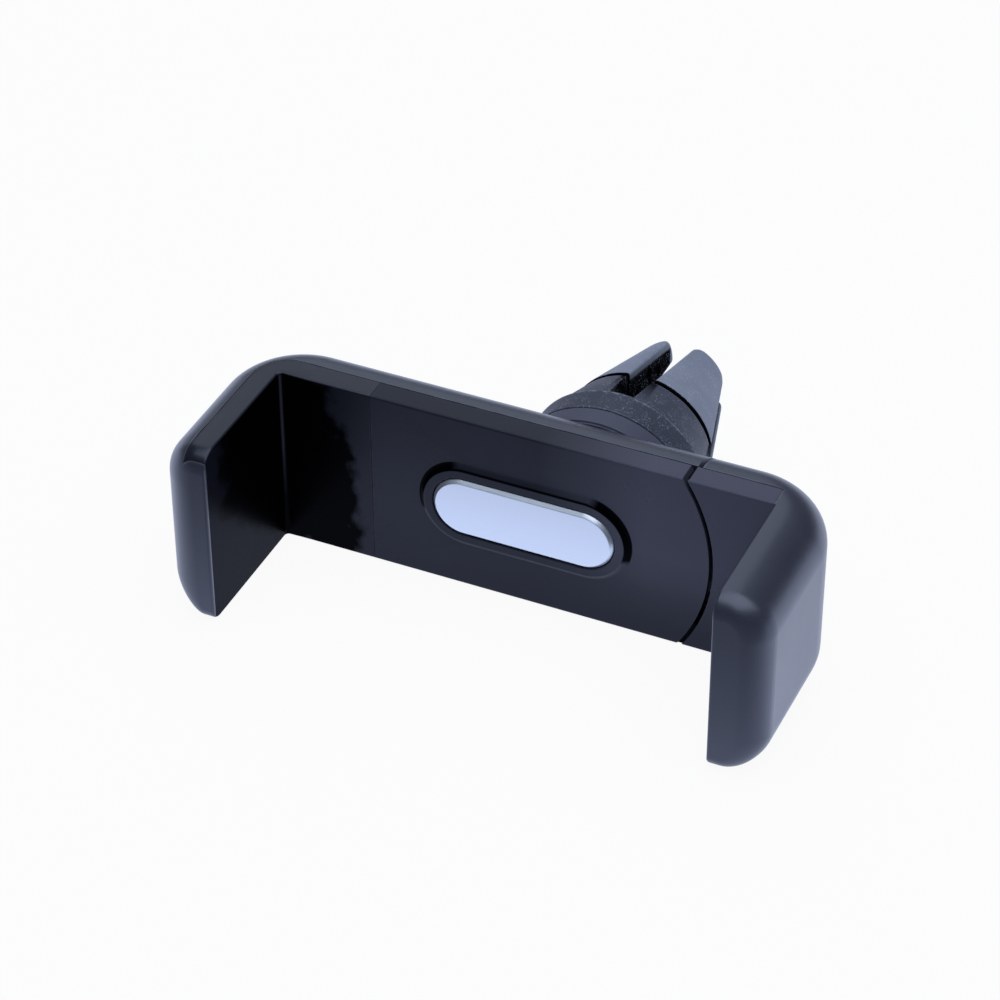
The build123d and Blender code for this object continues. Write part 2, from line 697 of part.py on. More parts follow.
# Rubber sleeve of one prong: a closed cap with a rounded tip and grip ridges on its inner faces
with BuildPart() as sleeve:
    sleeve_front = sleeve_start + sleeve_gap
    with BuildSketch(clip_plane) as half_section:
        with BuildLine():
            Polyline(
                (0, prong_tip),
                (0, sleeve_front),
                (start_radius - taper * sleeve_gap + sleeve_proud, sleeve_front),
                (prong_tip_radius + sleeve_proud, prong_tip),
                close=True,
            )
        make_face()
        tip_corner = half_section.vertices().sort_by_distance((clip_x + prong_tip_radius, prong_tip))[0]
        fillet(tip_corner, sleeve_tip_round)
    revolve(axis=clip_axis)
    sleeve_centre = prong_face + half_height / 2
    with BuildSketch(level(sleeve_front)):
        with Locations((clip_x + sleeve_centre, sleeve_centre)):
            Rectangle(half_height, half_height)
    extrude(amount=-prong_tip, mode=Mode.INTERSECT)
    # Tongue end, seen along the prong's own radius
    tongue_plane = Plane(origin=(clip_x, 0, 0), x_dir=(0, 1, 0), z_dir=(1, 0, 1))
    tip_width = sqrt(2) * (sqrt(dome_radius**2 - prong_face**2) - prong_face)
    start_width = tip_width + 2 * taper * (prong_tip - sleeve_front)
    with BuildSketch(tongue_plane) as tongue_end:
        with BuildLine():
            Polyline(
                (sleeve_front, -start_width),
                (prong_tip, -tip_width / 2),
                (prong_tip, tip_width / 2),
                (sleeve_front, start_width),
                close=True,
            )
        make_face()
        fillet(tongue_end.vertices().group_by(Axis.Y)[-1], tongue_round)
    extrude(amount=height, mode=Mode.INTERSECT)
    half_length = (prong_tip - sleeve_start) / 2
    lengthwise = sleeve.edges().filter_by(lambda e: e.bounding_box().size.Y > half_length)
    chamfer(lengthwise, sleeve_edge)
    # Ridges across both inner faces, shorter towards the tip
    ridge_depth = prong_face + ridge_radius - ridge_proud
    for ridge in range(ridge_count):
        ridge_y = dome_start - ridge * ridge_pitch
        ridge_start = prong_face + sleeve_edge
        ridge_end = dome_radius + taper * (dome_start - ridge_y) - sleeve_edge - ridge_margin
        with BuildSketch(Plane.XY.offset(ridge_start)):
            with Locations((clip_x + ridge_depth, ridge_y)):
                RegularPolygon(radius=ridge_radius, side_count=ridge_sides)
        extrude(amount=ridge_end - ridge_start)
        with BuildSketch(Plane.YZ.offset(clip_x + ridge_start)):
            with Locations((ridge_y, ridge_depth)):
                RegularPolygon(radius=ridge_radius, side_count=ridge_sides)
        extrude(amount=ridge_end - ridge_start)
    add(prong_room.part, mode=Mode.SUBTRACT)

# The same sleeve, mirrored onto each of the four prongs
upper_right = sleeve.part
upper_left = mirror(upper_right, about=Plane.YZ.offset(clip_x))
lower_right = mirror(upper_right, about=Plane.XY)
lower_left = mirror(upper_left, about=Plane.XY)
for place, cap in (
    ("upper_right", upper_right),
    ("upper_left", upper_left),
    ("lower_right", lower_right),
    ("lower_left", lower_left),
):
    cap.label = "prong_sleeve_" + place
    export_step(cap, "parts/prong_sleeve_" + place + ".step")
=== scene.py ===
from math import asin, atan2, cos, hypot, pi, radians, sin, sqrt

import bmesh
import bpy
from mathutils import Matrix, Vector


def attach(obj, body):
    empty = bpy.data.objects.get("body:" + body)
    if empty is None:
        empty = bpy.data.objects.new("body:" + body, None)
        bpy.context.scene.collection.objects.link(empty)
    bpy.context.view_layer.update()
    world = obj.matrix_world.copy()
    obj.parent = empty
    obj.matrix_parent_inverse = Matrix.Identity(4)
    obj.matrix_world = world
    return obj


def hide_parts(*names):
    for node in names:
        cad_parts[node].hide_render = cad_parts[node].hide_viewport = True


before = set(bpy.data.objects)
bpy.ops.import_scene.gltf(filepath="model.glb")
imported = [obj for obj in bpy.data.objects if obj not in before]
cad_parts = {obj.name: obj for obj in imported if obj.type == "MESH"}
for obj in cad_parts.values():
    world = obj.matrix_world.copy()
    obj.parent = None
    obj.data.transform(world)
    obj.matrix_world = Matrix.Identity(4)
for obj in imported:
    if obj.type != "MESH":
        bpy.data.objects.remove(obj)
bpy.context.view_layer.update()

# Cradle form. The five cradle mouldings are cut from one soft U: two arms and a back whose outer
# rims are rolled over, with crisp inner edges. It is swept here as sections round the U, and a
# moulding keeps the part of it that its parting lines leave.
MM = 0.001
HALF_HEIGHT = 10.65
ARM_INNER, ARM_THICK, ARM_LONG = 27.5, 5.8, 16.6
BACK_THICK = 7.5
RIM_ROUND, CORNER_ROUND, EDGE_SOFT = 4.5, 9.1, 0.28
TIP_ROUND, TIP_TOP, TIP_FOOT, LEFT_CORNER_ROUND = {-1: 4.2, 1: 3.0}, 2.3, 1.5, 0.5
TURN_X, TURN_Y = ARM_INNER + ARM_THICK - CORNER_ROUND, BACK_THICK - CORNER_ROUND


def added(name, data):
    thing = bpy.data.objects.new(name, data)
    bpy.context.scene.collection.objects.link(thing)
    return thing


def new_piece(name, points, faces):
    mesh = bpy.data.meshes.new(name)
    mesh.from_pydata([Vector(p) * MM for p in points], [], faces)
    shell = bmesh.new()
    shell.from_mesh(mesh)
    bmesh.ops.remove_doubles(shell, verts=shell.verts, dist=1e-7)
    bmesh.ops.recalc_face_normals(shell, faces=shell.faces)
    shell.to_mesh(mesh)
    shell.free()
    return added(name, mesh)


def skin_over(rings, closed=False):
    """Points and faces of a skin over equal rings of points, capped at both ends unless closed."""
    points = [p for ring in rings for p in ring]
    count = len(rings[0])
    faces = []
    for r in range(len(rings) if closed else len(rings) - 1):
        here, there = r * count, (r + 1) % len(rings) * count
        for k in range(count):
            j = (k + 1) % count
            faces.append((here + k, here + j, there + j, there + k))
    if not closed:
        faces.append(tuple(range(count))[::-1])
        faces.append(tuple(range((len(rings) - 1) * count, len(rings) * count)))
    return points, faces


def section(thick, outside, above, below, inner):
    """One section across the U, drawn in on four sides: distances outwards, and heights."""
    halves = []
    for drop in (above, below):
        top, soft = HALF_HEIGHT - drop, EDGE_SOFT
        half = []
        for k in range(5):
            a = pi / 8 * k
            half.append((inner + soft - soft * cos(a), top - soft + soft * sin(a)))
        half.append(((inner + soft + thick - RIM_ROUND) / 2, top))
        for k in range(19):
            a = pi / 2 - pi / 36 * k
            out, up = (RIM_ROUND - outside) * cos(a), (RIM_ROUND - drop) * sin(a)
            half.append((thick - RIM_ROUND + out, HALF_HEIGHT - RIM_ROUND + up))
        halves.append(half)
    return halves[0] + [(s, -z) for s, z in reversed(halves[1])]


def drawn_in(radius, t):
    """How far a round has drawn in at a distance from the end face."""
    return radius - sqrt(max(0, radius ** 2 - max(0, radius - t) ** 2))


def tip_stations(side):
    """Distances from a tip's end face, with how far each side of the section has drawn in."""
    rounds = (TIP_ROUND[side], TIP_TOP, TIP_FOOT, EDGE_SOFT)
    ends = {round(radius * (1 - sin(pi / 28 * k)), 4) for radius in rounds for k in range(15)}
    for t in sorted(ends):
        yield t, *(drawn_in(radius, t) for radius in rounds)


def inner_reach(a, rounded):
    """Distance along a ray from the corner's centre to the inner face of the U."""
    across = (ARM_INNER - TURN_X) / max(cos(a), 1e-9)
    along = -TURN_Y / max(sin(a), 1e-9)
    reach = min(across, along)
    if rounded:
        cx, cy = ARM_INNER - TURN_X - rounded, -TURN_Y - rounded
        near = cx * cos(a) + cy * sin(a)
        gap = rounded ** 2 - (cx * cx + cy * cy - near ** 2)
        if gap > 0:
            hit = near + sqrt(gap)
            if hit * cos(a) > cx and hit * sin(a) > cy:
                reach = hit
    return reach


def cradle_form(name):
    rings = []
    for side, rounded in ((-1, LEFT_CORNER_ROUND), (1, 0)):
        half = []
        for t, *drawn in tip_stations(side):
            y = t - ARM_LONG
            flat = section(ARM_THICK, *drawn)
            half.append([(side * (ARM_INNER + s), y, z) for s, z in flat])
        turns = {pi / 72 * k for k in range(37)} | {atan2(-TURN_Y, ARM_INNER - TURN_X)}
        if rounded:
            for k in range(9):
                b = pi / 16 * k
                up = -TURN_Y - rounded + rounded * sin(b)
                across = ARM_INNER - TURN_X - rounded + rounded * cos(b)
                turns.add(atan2(up, across))
        for a in sorted(turns):
            near = inner_reach(a, rounded)
            ring = []
            for s, z in section(CORNER_ROUND - near, 0, 0, 0, 0):
                r = near + s
                ring.append((side * (TURN_X + r * cos(a)), TURN_Y + r * sin(a), z))
            half.append(ring)
        rings += half if side < 0 else half[::-1]
    return new_piece(name, *skin_over(rings))


def settle(piece):
    """Turns a piece's modifiers into plain mesh."""
    depsgraph = bpy.context.evaluated_depsgraph_get()
    solid = bpy.data.meshes.new_from_object(piece.evaluated_get(depsgraph))
    piece.modifiers.clear()
    piece.data = solid
    solid.name = piece.name


def carve(piece, tool, how="DIFFERENCE"):
    cut = piece.modifiers.new("carve", "BOOLEAN")
    cut.operation, cut.solver, cut.object = how, "EXACT", tool
    settle(piece)


def cut_once(piece, tool, how="DIFFERENCE"):
    """Carves a piece with a form that no other piece needs."""
    carve(piece, tool, how)
    bpy.data.objects.remove(tool)


def moulding(name, inside, outside=()):
    """The part of the cradle form that lies inside some zones and outside others."""
    piece = cradle_form(name)
    for zone in inside:
        carve(piece, zone, "INTERSECT")
    for zone in outside:
        carve(piece, zone)
    return piece


def soften(piece, width, steps=3, angle=50):
    """Breaks a moulding's cut edges by a small round, and shades flats flat and rounds round."""
    edge = piece.modifiers.new("edge", "BEVEL")
    edge.width, edge.segments = width * MM, steps
    edge.limit_method, edge.angle_limit = "ANGLE", radians(angle)
    edge.use_clamp_overlap = True
    settle(piece)
    smooth_by_face(piece)


def smooth_by_face(piece, angle=40):
    piece.data.shade_smooth()
    piece.data.set_sharp_from_angle(angle=radians(angle))
    even = piece.modifiers.new("even", "WEIGHTED_NORMAL")
    even.keep_sharp, even.weight = True, 50
    settle(piece)


def prism(name, outline, low, high, lift):
    """A prism over a closed outline. lift places an outline's point at a given depth."""
    rings = [[lift(u, v, depth) for u, v in outline] for depth in (low, high)]
    return new_piece(name, *skin_over(rings))


def facing(u, v, depth):
    return (u, depth, v)


def seen_from_above(u, v, depth):
    return (u, v, depth)


def disc(radius, steps=96, x=0, z=0):
    turns = [2 * pi * k / steps for k in range(steps)]
    return [(x + radius * cos(a), z + radius * sin(a)) for a in turns]


def rectangle(left, right, half):
    return [(left, -half), (right, -half), (right, half), (left, half)]


# Curved gap: the still half ends in a bulging edge and the sliding half in a hollow one, so that
# the jaw closes flush. Behind the face mouldings the gap steps to the right, so it stays dark.
GAP_X, GAP_ROUND, GAP, GAP_STEP = 1.9, 19.0, 0.45, 0.55
# Distances that lie past the whole holder, and past its top and foot.
FAR, BEYOND = 40, 12


def curved_edge(radius):
    reach = asin(BEYOND / radius)
    turns = [reach * (k / 40 - 1) for k in range(81)]
    return [(GAP_X + radius * cos(a), radius * sin(a)) for a in turns]


def gap_zone(name, side, radius):
    """Everything on one side of the curved gap."""
    outline = [(side * FAR, -BEYOND)] + curved_edge(radius) + [(side * FAR, BEYOND)]
    return prism(name, outline, -FAR, FAR, facing)


still_face = gap_zone("still_face", -1, GAP_ROUND)
still_back = gap_zone("still_back", -1, GAP_ROUND + GAP_STEP)
moving_face = gap_zone("moving_face", 1, GAP_ROUND + GAP)
moving_back = gap_zone("moving_back", 1, GAP_ROUND + GAP_STEP + GAP)

# At its lower end the gap steps close behind the face already, as the line of sight runs along it.
LIP_DEEP, LIP_TOP = 0.35, -7.6


def gap_lip(name, near, far):
    angles = [asin(LIP_TOP / GAP_ROUND) - radians(1.5) * k for k in range(14)]
    outline = [(GAP_X + far * cos(a), far * sin(a)) for a in angles]
    outline += [(GAP_X + near * cos(a), near * sin(a)) for a in reversed(angles)]
    return prism(name, outline, LIP_DEEP, FAR, facing)


for zone, how, near, far in (
    (still_face, "UNION", GAP_ROUND - 1, GAP_ROUND + GAP_STEP),
    (moving_face, "DIFFERENCE", GAP_ROUND, GAP_ROUND + GAP_STEP + GAP),
):
    lip = gap_lip("lip", near, far)
    cut_once(zone, lip, how)

# Band of the face mouldings: 2.6 mm behind the face, and down inside the left arm. The back
# mouldings stop a hair short of it, which shows as the dark parting line along the top.
BAND_DEEP, LINER_DEEP, LINER_ROUND, LINER_END = 2.6, 2.5, 3.5, -16.15
PARTING = 0.1


def band(name, gap):
    edge_x, back_y, turn = -ARM_INNER - LINER_DEEP - gap, BAND_DEEP + gap, LINER_ROUND + gap
    outline = [(edge_x, LINER_END), (ARM_INNER, LINER_END), (ARM_INNER, back_y)]
    for k in range(17):
        a = pi / 2 + pi / 32 * k
        outline.append((edge_x + turn + turn * cos(a), back_y - turn + turn * sin(a)))
    return prism(name, outline, -BEYOND, BEYOND, seen_from_above)


band_zone, band_room = band("band_zone", 0), band("band_room", PARTING)

# Hollow for the slide: the way that the tongue runs in, behind the face, and the room round it for
# the springs.
WALL, SEAT_FRONT = 1.5, 4.5
TONGUE_WAY_LEFT, TONGUE_WAY_RIGHT, TONGUE_WAY_HALF = 10, 23, 4.15
HOLLOW_HALF, HOLLOW_LEFT, HOLLOW_ROUND = 9.15, -28.8, 16.8
turns = [asin(HOLLOW_HALF / HOLLOW_ROUND) * (k / 20 - 1) for k in range(41)]
inner_edge = [(GAP_X + HOLLOW_ROUND * cos(a), HOLLOW_ROUND * sin(a)) for a in turns]
hollow_outline = [(HOLLOW_LEFT, -HOLLOW_HALF)] + inner_edge + [(HOLLOW_LEFT, HOLLOW_HALF)]
hollow = prism("hollow", hollow_outline, WALL, SEAT_FRONT, facing)
tongue_way_outline = rectangle(TONGUE_WAY_LEFT, TONGUE_WAY_RIGHT, TONGUE_WAY_HALF)
tongue_way = prism("tongue_way", tongue_way_outline, WALL, SEAT_FRONT, facing)

# Screw places on the back, each a sunk seat for a pan head.
SCREW_Z, HEAD_SEAT, SEAT_R = 6.0, 6.25, 1.65
CLIP_X, SCREW_FROM_CLIP = 5.9, 12.05
LEFT_SCREW_X, JAW_SCREW_X = -24.0, 24.0
RIGHT_SCREW_X = CLIP_X + sqrt(SCREW_FROM_CLIP ** 2 - SCREW_Z ** 2)


def sink_screws(piece, columns):
    for x in columns:
        for z in (SCREW_Z, -SCREW_Z):
            seat = prism("seat", disc(SEAT_R, 64, x, z), HEAD_SEAT, FAR, facing)
            cut_once(piece, seat)


# Moulded plastic: a fine even grain left by the tool, with slow changes of tone and gloss from
# cooling and handling. Every plastic and rubber here is a mix of it, so it is a shared group.
def group(name, inputs, outputs):
    tree = bpy.data.node_groups.new(name, "ShaderNodeTree")
    for label, kind, value in inputs:
        socket = tree.interface.new_socket(label, in_out="INPUT", socket_type=kind)
        socket.default_value = value
    for label, kind in outputs:
        tree.interface.new_socket(label, in_out="OUTPUT", socket_type=kind)
    return tree, tree.nodes.new("NodeGroupInput"), tree.nodes.new("NodeGroupOutput")


def node(tree, kind, **values):
    made = tree.nodes.new(kind)
    for key, value in values.items():
        setattr(made, key, value)
    return made


def wire(tree, start, start_socket, end, end_socket):
    tree.links.new(start.outputs[start_socket], end.inputs[end_socket])


def put(tree, value, socket):
    """Sets an input to a number or a tone, or links it to another socket."""
    if isinstance(value, (int, float)):
        socket.default_value = value
    elif isinstance(value, tuple):
        socket.default_value = (*value, 1)
    else:
        tree.links.new(value, socket)


def calc(tree, operation, a, b=0.0):
    made = node(tree, "ShaderNodeMath", operation=operation)
    put(tree, a, made.inputs[0])
    put(tree, b, made.inputs[1])
    return made.outputs[0]


def product(tree, *values):
    result = values[0]
    for value in values[1:]:
        result = calc(tree, "MULTIPLY", result, value)
    return result


def ramp(tree, value, low, high):
    """0 at low and 1 at high, evenly between them."""
    made = node(tree, "ShaderNodeMapRange")
    made.inputs["From Min"].default_value = low
    made.inputs["From Max"].default_value = high
    tree.links.new(value, made.inputs["Value"])
    return made.outputs["Result"]


def mix(tree, share, plain, changed):
    """The plain colour at 0 and the changed one at 1."""
    made = node(tree, "ShaderNodeMix", data_type="RGBA")
    put(tree, share, made.inputs["Factor"])
    put(tree, plain, made.inputs[6])
    put(tree, changed, made.inputs[7])
    return made.outputs[2]


def noise(tree, spot, scale, detail=2.0, roughness=0.5):
    made = node(tree, "ShaderNodeTexNoise")
    made.inputs["Detail"].default_value = detail
    made.inputs["Roughness"].default_value = roughness
    put(tree, scale, made.inputs["Scale"])
    tree.links.new(spot, made.inputs["Vector"])
    return made.outputs["Fac"]


grain, grain_in, grain_out = group(
    "moulded_grain",
    [
        ("Grain size", "NodeSocketFloat", 0.25),
        ("Deep tone", "NodeSocketColor", (0.02, 0.02, 0.03, 1)),
        ("Pale tone", "NodeSocketColor", (0.03, 0.03, 0.04, 1)),
        ("Gloss", "NodeSocketFloat", 0.35),
        ("Dull", "NodeSocketFloat", 0.5),
    ],
    [("Color", "NodeSocketColor"), ("Roughness", "NodeSocketFloat"), ("Height", "NodeSocketFloat")],
)
place = node(grain, "ShaderNodeTexCoord").outputs["Object"]
spread = node(grain, "ShaderNodeMapRange", interpolation_type="SMOOTHSTEP")
spread.inputs["From Min"].default_value = 0.1
spread.inputs["From Max"].default_value = 0.9
grain.links.new(noise(grain, place, 95.0, 4.0, 0.6), spread.inputs["Value"])
cloudy = spread.outputs["Result"]
tone = mix(grain, cloudy, grain_in.outputs["Deep tone"], grain_in.outputs["Pale tone"])
grain.links.new(tone, grain_out.inputs["Color"])
shine = node(grain, "ShaderNodeMapRange")
grain.links.new(cloudy, shine.inputs["Value"])
wire(grain, grain_in, "Gloss", shine, "To Min")
wire(grain, grain_in, "Dull", shine, "To Max")
wire(grain, shine, "Result", grain_out, "Roughness")
grain_scale = calc(grain, "DIVIDE", 1000.0, grain_in.outputs["Grain size"])
grain.links.new(noise(grain, place, grain_scale), grain_out.inputs["Height"])

# Rubbed edges: handling polishes a moulding's edges, and the paler tone there is partly wear and
# partly a painted highlight along the edges.
wear_sheen, wear_sheen_in, wear_sheen_out = group(
    "worn_and_highlit_edges",
    [
        ("Reach", "NodeSocketFloat", 0.25),
        ("Strength", "NodeSocketFloat", 0.6),
        ("Color", "NodeSocketColor", (0.03, 0.03, 0.04, 1)),
        ("Worn sheen tone", "NodeSocketColor", (0.08, 0.08, 0.1, 1)),
    ],
    [("Color", "NodeSocketColor"), ("Mask", "NodeSocketFloat")],
)
round_normal = node(wear_sheen, "ShaderNodeBevel", samples=6)
reach_m = product(wear_sheen, wear_sheen_in.outputs["Reach"], MM)
wear_sheen.links.new(reach_m, round_normal.inputs["Radius"])
surface = node(wear_sheen, "ShaderNodeNewGeometry")
lean = node(wear_sheen, "ShaderNodeVectorMath", operation="DOT_PRODUCT")
wire(wear_sheen, round_normal, "Normal", lean, 0)
wire(wear_sheen, surface, "Normal", lean, 1)
spot = node(wear_sheen, "ShaderNodeTexCoord").outputs["Object"]
much = product(
    wear_sheen, ramp(wear_sheen, lean.outputs["Value"], 0.995, 0.86),
    ramp(wear_sheen, noise(wear_sheen, spot, 420.0, 3.0), 0.38, 0.62), wear_sheen_in.outputs["Strength"],
)
wear_sheen.links.new(much, wear_sheen_out.inputs["Mask"])
# Paler edge tone: wear together with a painted highlight.
edge_tone = mix(wear_sheen, much, wear_sheen_in.outputs["Color"], wear_sheen_in.outputs["Worn sheen tone"])
wear_sheen.links.new(edge_tone, wear_sheen_out.inputs["Color"])


def plastic(
    name, deep, pale, worn_sheen_tone, gloss, dull, grain_mm, bump,
    wear_sheen_share=0.6, reach=0.25, level=0.32, coat=0.0,
):
    """A moulded plastic made of the two groups; constants stay on the shader's own sockets."""
    stuff = bpy.data.materials.new(name)
    stuff.use_nodes = True
    tree = stuff.node_tree
    shader = tree.nodes["Principled BSDF"]
    shader.inputs["Specular Tint"].default_value = (0.74, 0.81, 1.0, 1)
    shader.inputs["Specular IOR Level"].default_value = level
    shader.inputs["Coat Weight"].default_value = coat
    shader.inputs["Coat Roughness"].default_value = 0.35
    base = node(tree, "ShaderNodeGroup", node_tree=grain)
    edge_wear_sheen = node(tree, "ShaderNodeGroup", node_tree=wear_sheen)
    for part, label, value in (
        (base, "Grain size", grain_mm), (base, "Deep tone", deep), (base, "Pale tone", pale),
        (base, "Gloss", gloss), (base, "Dull", dull),
        (edge_wear_sheen, "Strength", wear_sheen_share), (edge_wear_sheen, "Reach", reach), (edge_wear_sheen, "Worn sheen tone", worn_sheen_tone),
    ):
        put(tree, value, part.inputs[label])
    wire(tree, base, "Color", edge_wear_sheen, "Color")
    wire(tree, edge_wear_sheen, "Color", shader, "Base Color")
    smoother = node(tree, "ShaderNodeMath", operation="MULTIPLY_ADD")
    smoother.inputs[1].default_value = -0.12
    wire(tree, edge_wear_sheen, "Mask", smoother, 0)
    wire(tree, base, "Roughness", smoother, 2)
    wire(tree, smoother, 0, shader, "Roughness")
    bumps = node(tree, "ShaderNodeBump")
    bumps.inputs["Strength"].default_value = bump
    bumps.inputs["Distance"].default_value = 0.00004
    wire(tree, base, "Height", bumps, "Height")
    wire(tree, bumps, "Normal", shader, "Normal")
    return stuff


def wear(piece, stuff):
    piece.data.materials.clear()
    piece.data.materials.append(stuff)


shell_plastic = plastic(
    "shell_plastic", (0.018, 0.02, 0.036), (0.024, 0.027, 0.047), (0.12, 0.13, 0.17),
    gloss=0.32, dull=0.4, grain_mm=0.16, bump=0.3, wear_sheen_share=0.8, level=0.85, coat=0.4,
)

# Back shell: one ABS moulding that closes the back of the still half and runs down the outside of
# the left arm to its tip. Screws sink into it, and the swivel seats in a round pocket.
POCKET_R, POCKET_FLOOR = 10.12, 5.9
back_shell = moulding("back_shell_moulding", [still_back], [band_room, hollow, tongue_way])
pocket = prism("pocket", disc(POCKET_R, 160, CLIP_X, 0), POCKET_FLOOR, FAR, facing)
cut_once(back_shell, pocket)
sink_screws(back_shell, (LEFT_SCREW_X, RIGHT_SCREW_X))
soften(back_shell, 0.08)
wear(back_shell, shell_plastic)
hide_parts("back_shell")
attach(back_shell, "cradle")

# Left jaw liner: a glossy plastic moulding, shaped as an L, that lines the left arm and turns onto
# the face as far as the seam.
SEAM_X, SEAM_GAP = -17.0, 0.035
left_liner = moulding("left_liner_moulding", [band_zone], [hollow])
right_of_seam = prism(
    "right_of_seam", rectangle(SEAM_X - SEAM_GAP, FAR, BEYOND), -FAR, FAR, facing
)
cut_once(left_liner, right_of_seam)
soften(left_liner, 0.05)
liner_plastic = plastic(
    "liner_plastic", (0.007, 0.0073, 0.0135), (0.011, 0.012, 0.02), (0.06, 0.065, 0.085),
    gloss=0.24, dull=0.4, grain_mm=0.3, bump=0.2, wear_sheen_share=0.4,
)


def place_in_mm(tree):
    """The coordinate node, and the place on the object as x, y and z in millimetres."""
    spot = node(tree, "ShaderNodeTexCoord")
    in_mm = node(tree, "ShaderNodeVectorMath", operation="SCALE")
    in_mm.inputs["Scale"].default_value = 1000.0
    wire(tree, spot, "Object", in_mm, "Vector")
    at = node(tree, "ShaderNodeSeparateXYZ")
    wire(tree, in_mm, "Vector", at, "Vector")
    return spot, *at.outputs


def tint_where(stuff, mask, tone):
    """Turns a plastic's colour to a tone where the mask is 1."""
    tree = stuff.node_tree
    colour = tree.nodes["Principled BSDF"].inputs["Base Color"]
    tree.links.new(mix(tree, mask, colour.links[0].from_socket, tone), colour)


def paint_black_shade(stuff, mask, level):
    """Paints black shade and dark reflection into a plastic where the mask is 1, with its specular
    turned down there; level is its gloss elsewhere.
    """
    tree = stuff.node_tree
    shader = tree.nodes["Principled BSDF"]
    tint_where(stuff, mask, (0.0006, 0.0006, 0.001))
    left_lit = product(tree, calc(tree, "SUBTRACT", 1.0, mask), level)
    tree.links.new(calc(tree, "ADD", left_lit, 0.02), shader.inputs["Specular IOR Level"])


# Its inside is painted black, with its reflections turned down, as a painted dark reflection and
# shade of the facing jaw. The plain plastic is left along the tip, the foot, the seam, the top and
# the upper part of the inner corner, with a ragged border.
BLACK_BORDER_SWAY, UNPAINTED_SEAM, UNPAINTED_TIP, UNPAINTED_FOOT = 7.0, (-19.8, -18.2), (12.2, 13.6), (11.2, 12.8)
tree = liner_plastic.node_tree
spot, x, y, z = place_in_mm(tree)
ragged = noise(tree, spot.outputs["Object"], 330.0, 5.0)
sway = product(tree, calc(tree, "SUBTRACT", ragged, 0.5), BLACK_BORDER_SWAY)
leaning = calc(tree, "ADD", x, product(tree, calc(tree, "MAXIMUM", z, 0.0), 0.3))
to_seam = calc(tree, "ADD", leaning, sway)
to_tip = calc(tree, "SUBTRACT", sway, y)
to_foot = calc(tree, "SUBTRACT", calc(tree, "SUBTRACT", sway, z), y)
faced = node(tree, "ShaderNodeSeparateXYZ")
wire(tree, spot, "Normal", faced, "Vector")
inwards, on_top = faced.outputs["X"], ramp(tree, faced.outputs["Z"], 0.3, 0.7)
unpainted = calc(tree, "MAXIMUM", ramp(tree, to_seam, *UNPAINTED_SEAM), ramp(tree, to_tip, *UNPAINTED_TIP))
unpainted = calc(tree, "MAXIMUM", unpainted, ramp(tree, to_foot, *UNPAINTED_FOOT))
unpainted = calc(tree, "MAXIMUM", unpainted, on_top)
corner = product(
    tree, ramp(tree, inwards, 0.3, 0.6), ramp(tree, inwards, 0.97, 0.85),
    ramp(tree, calc(tree, "ADD", z, sway), -5.0, 3.0),
)
unpainted = calc(tree, "MAXIMUM", unpainted, product(tree, corner, 0.8))
gloss_left = product(tree, ramp(tree, inwards, 0.95, 0.7), 0.2)
gloss_left = calc(tree, "MAXIMUM", gloss_left, product(tree, on_top, 0.55))
# Painted shade and dark reflection: black wherever the plain plastic is not left.
paint_black_shade(liner_plastic, calc(tree, "SUBTRACT", 1.0, unpainted), gloss_left)
wear(left_liner, liner_plastic)
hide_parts("left_jaw_liner")
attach(left_liner, "cradle")

# Front panel: the plastic moulding that faces the still half, held by screws from the back. It has
# a raised oval surround whose sides slope and whose middle is pocketed for the inlay.
SURROUND_X, SURROUND_HALF = 0.5, 6.7
FOOT_R, RING_R, WELL_R, RISE = 5.3, 4.47, 3.6, 0.6


def oval(radius, steps=40):
    points = []
    for side in (1, -1):
        for k in range(steps + 1):
            a = pi * k / steps - pi / 2
            across = SURROUND_HALF + radius * cos(a)
            points.append((SURROUND_X + side * across, side * radius * sin(a)))
    return points


def oval_block(name, profile):
    """A block of ovals, each given by its radius and its depth behind the face."""
    return new_piece(name, *skin_over([[(x, y, z) for x, z in oval(r)] for r, y in profile]))


front_panel = moulding("front_panel_moulding", [band_zone, still_face])
left_of_seam = prism("left_of_seam", rectangle(-FAR, SEAM_X, BEYOND), -FAR, FAR, facing)
cut_once(front_panel, left_of_seam)
surround = oval_block(
    "surround",
    [
        (FOOT_R + 0.125, 0.1), (FOOT_R, 0.0), (RING_R + 0.17, 0.07 - RISE),
        (RING_R + 0.13, 0.04 - RISE), (RING_R + 0.07, 0.015 - RISE), (RING_R, -RISE),
    ],
)
cut_once(front_panel, surround, "UNION")
pocket = oval_block(
    "pocket",
    [
        (WELL_R, 0.15), (WELL_R, 0.1 - RISE), (WELL_R + 0.03, 0.05 - RISE),
        (WELL_R + 0.08, 0.015 - RISE), (WELL_R + 0.15, -RISE), (WELL_R + 0.15, -2),
    ],
)
cut_once(front_panel, pocket)
carve(front_panel, hollow)
carve(front_panel, tongue_way)
soften(front_panel, 0.05)
panel_plastic = plastic(
    "panel_plastic", (0.011, 0.012, 0.019), (0.02, 0.022, 0.034), (0.07, 0.076, 0.1),
    gloss=0.22, dull=0.38, grain_mm=0.3, bump=0.1,
)


def away(tree, u, v):
    """Distance from an axis, from the two offsets across it."""
    return calc(tree, "SQRT", calc(tree, "ADD", product(tree, u, u), product(tree, v, v)))


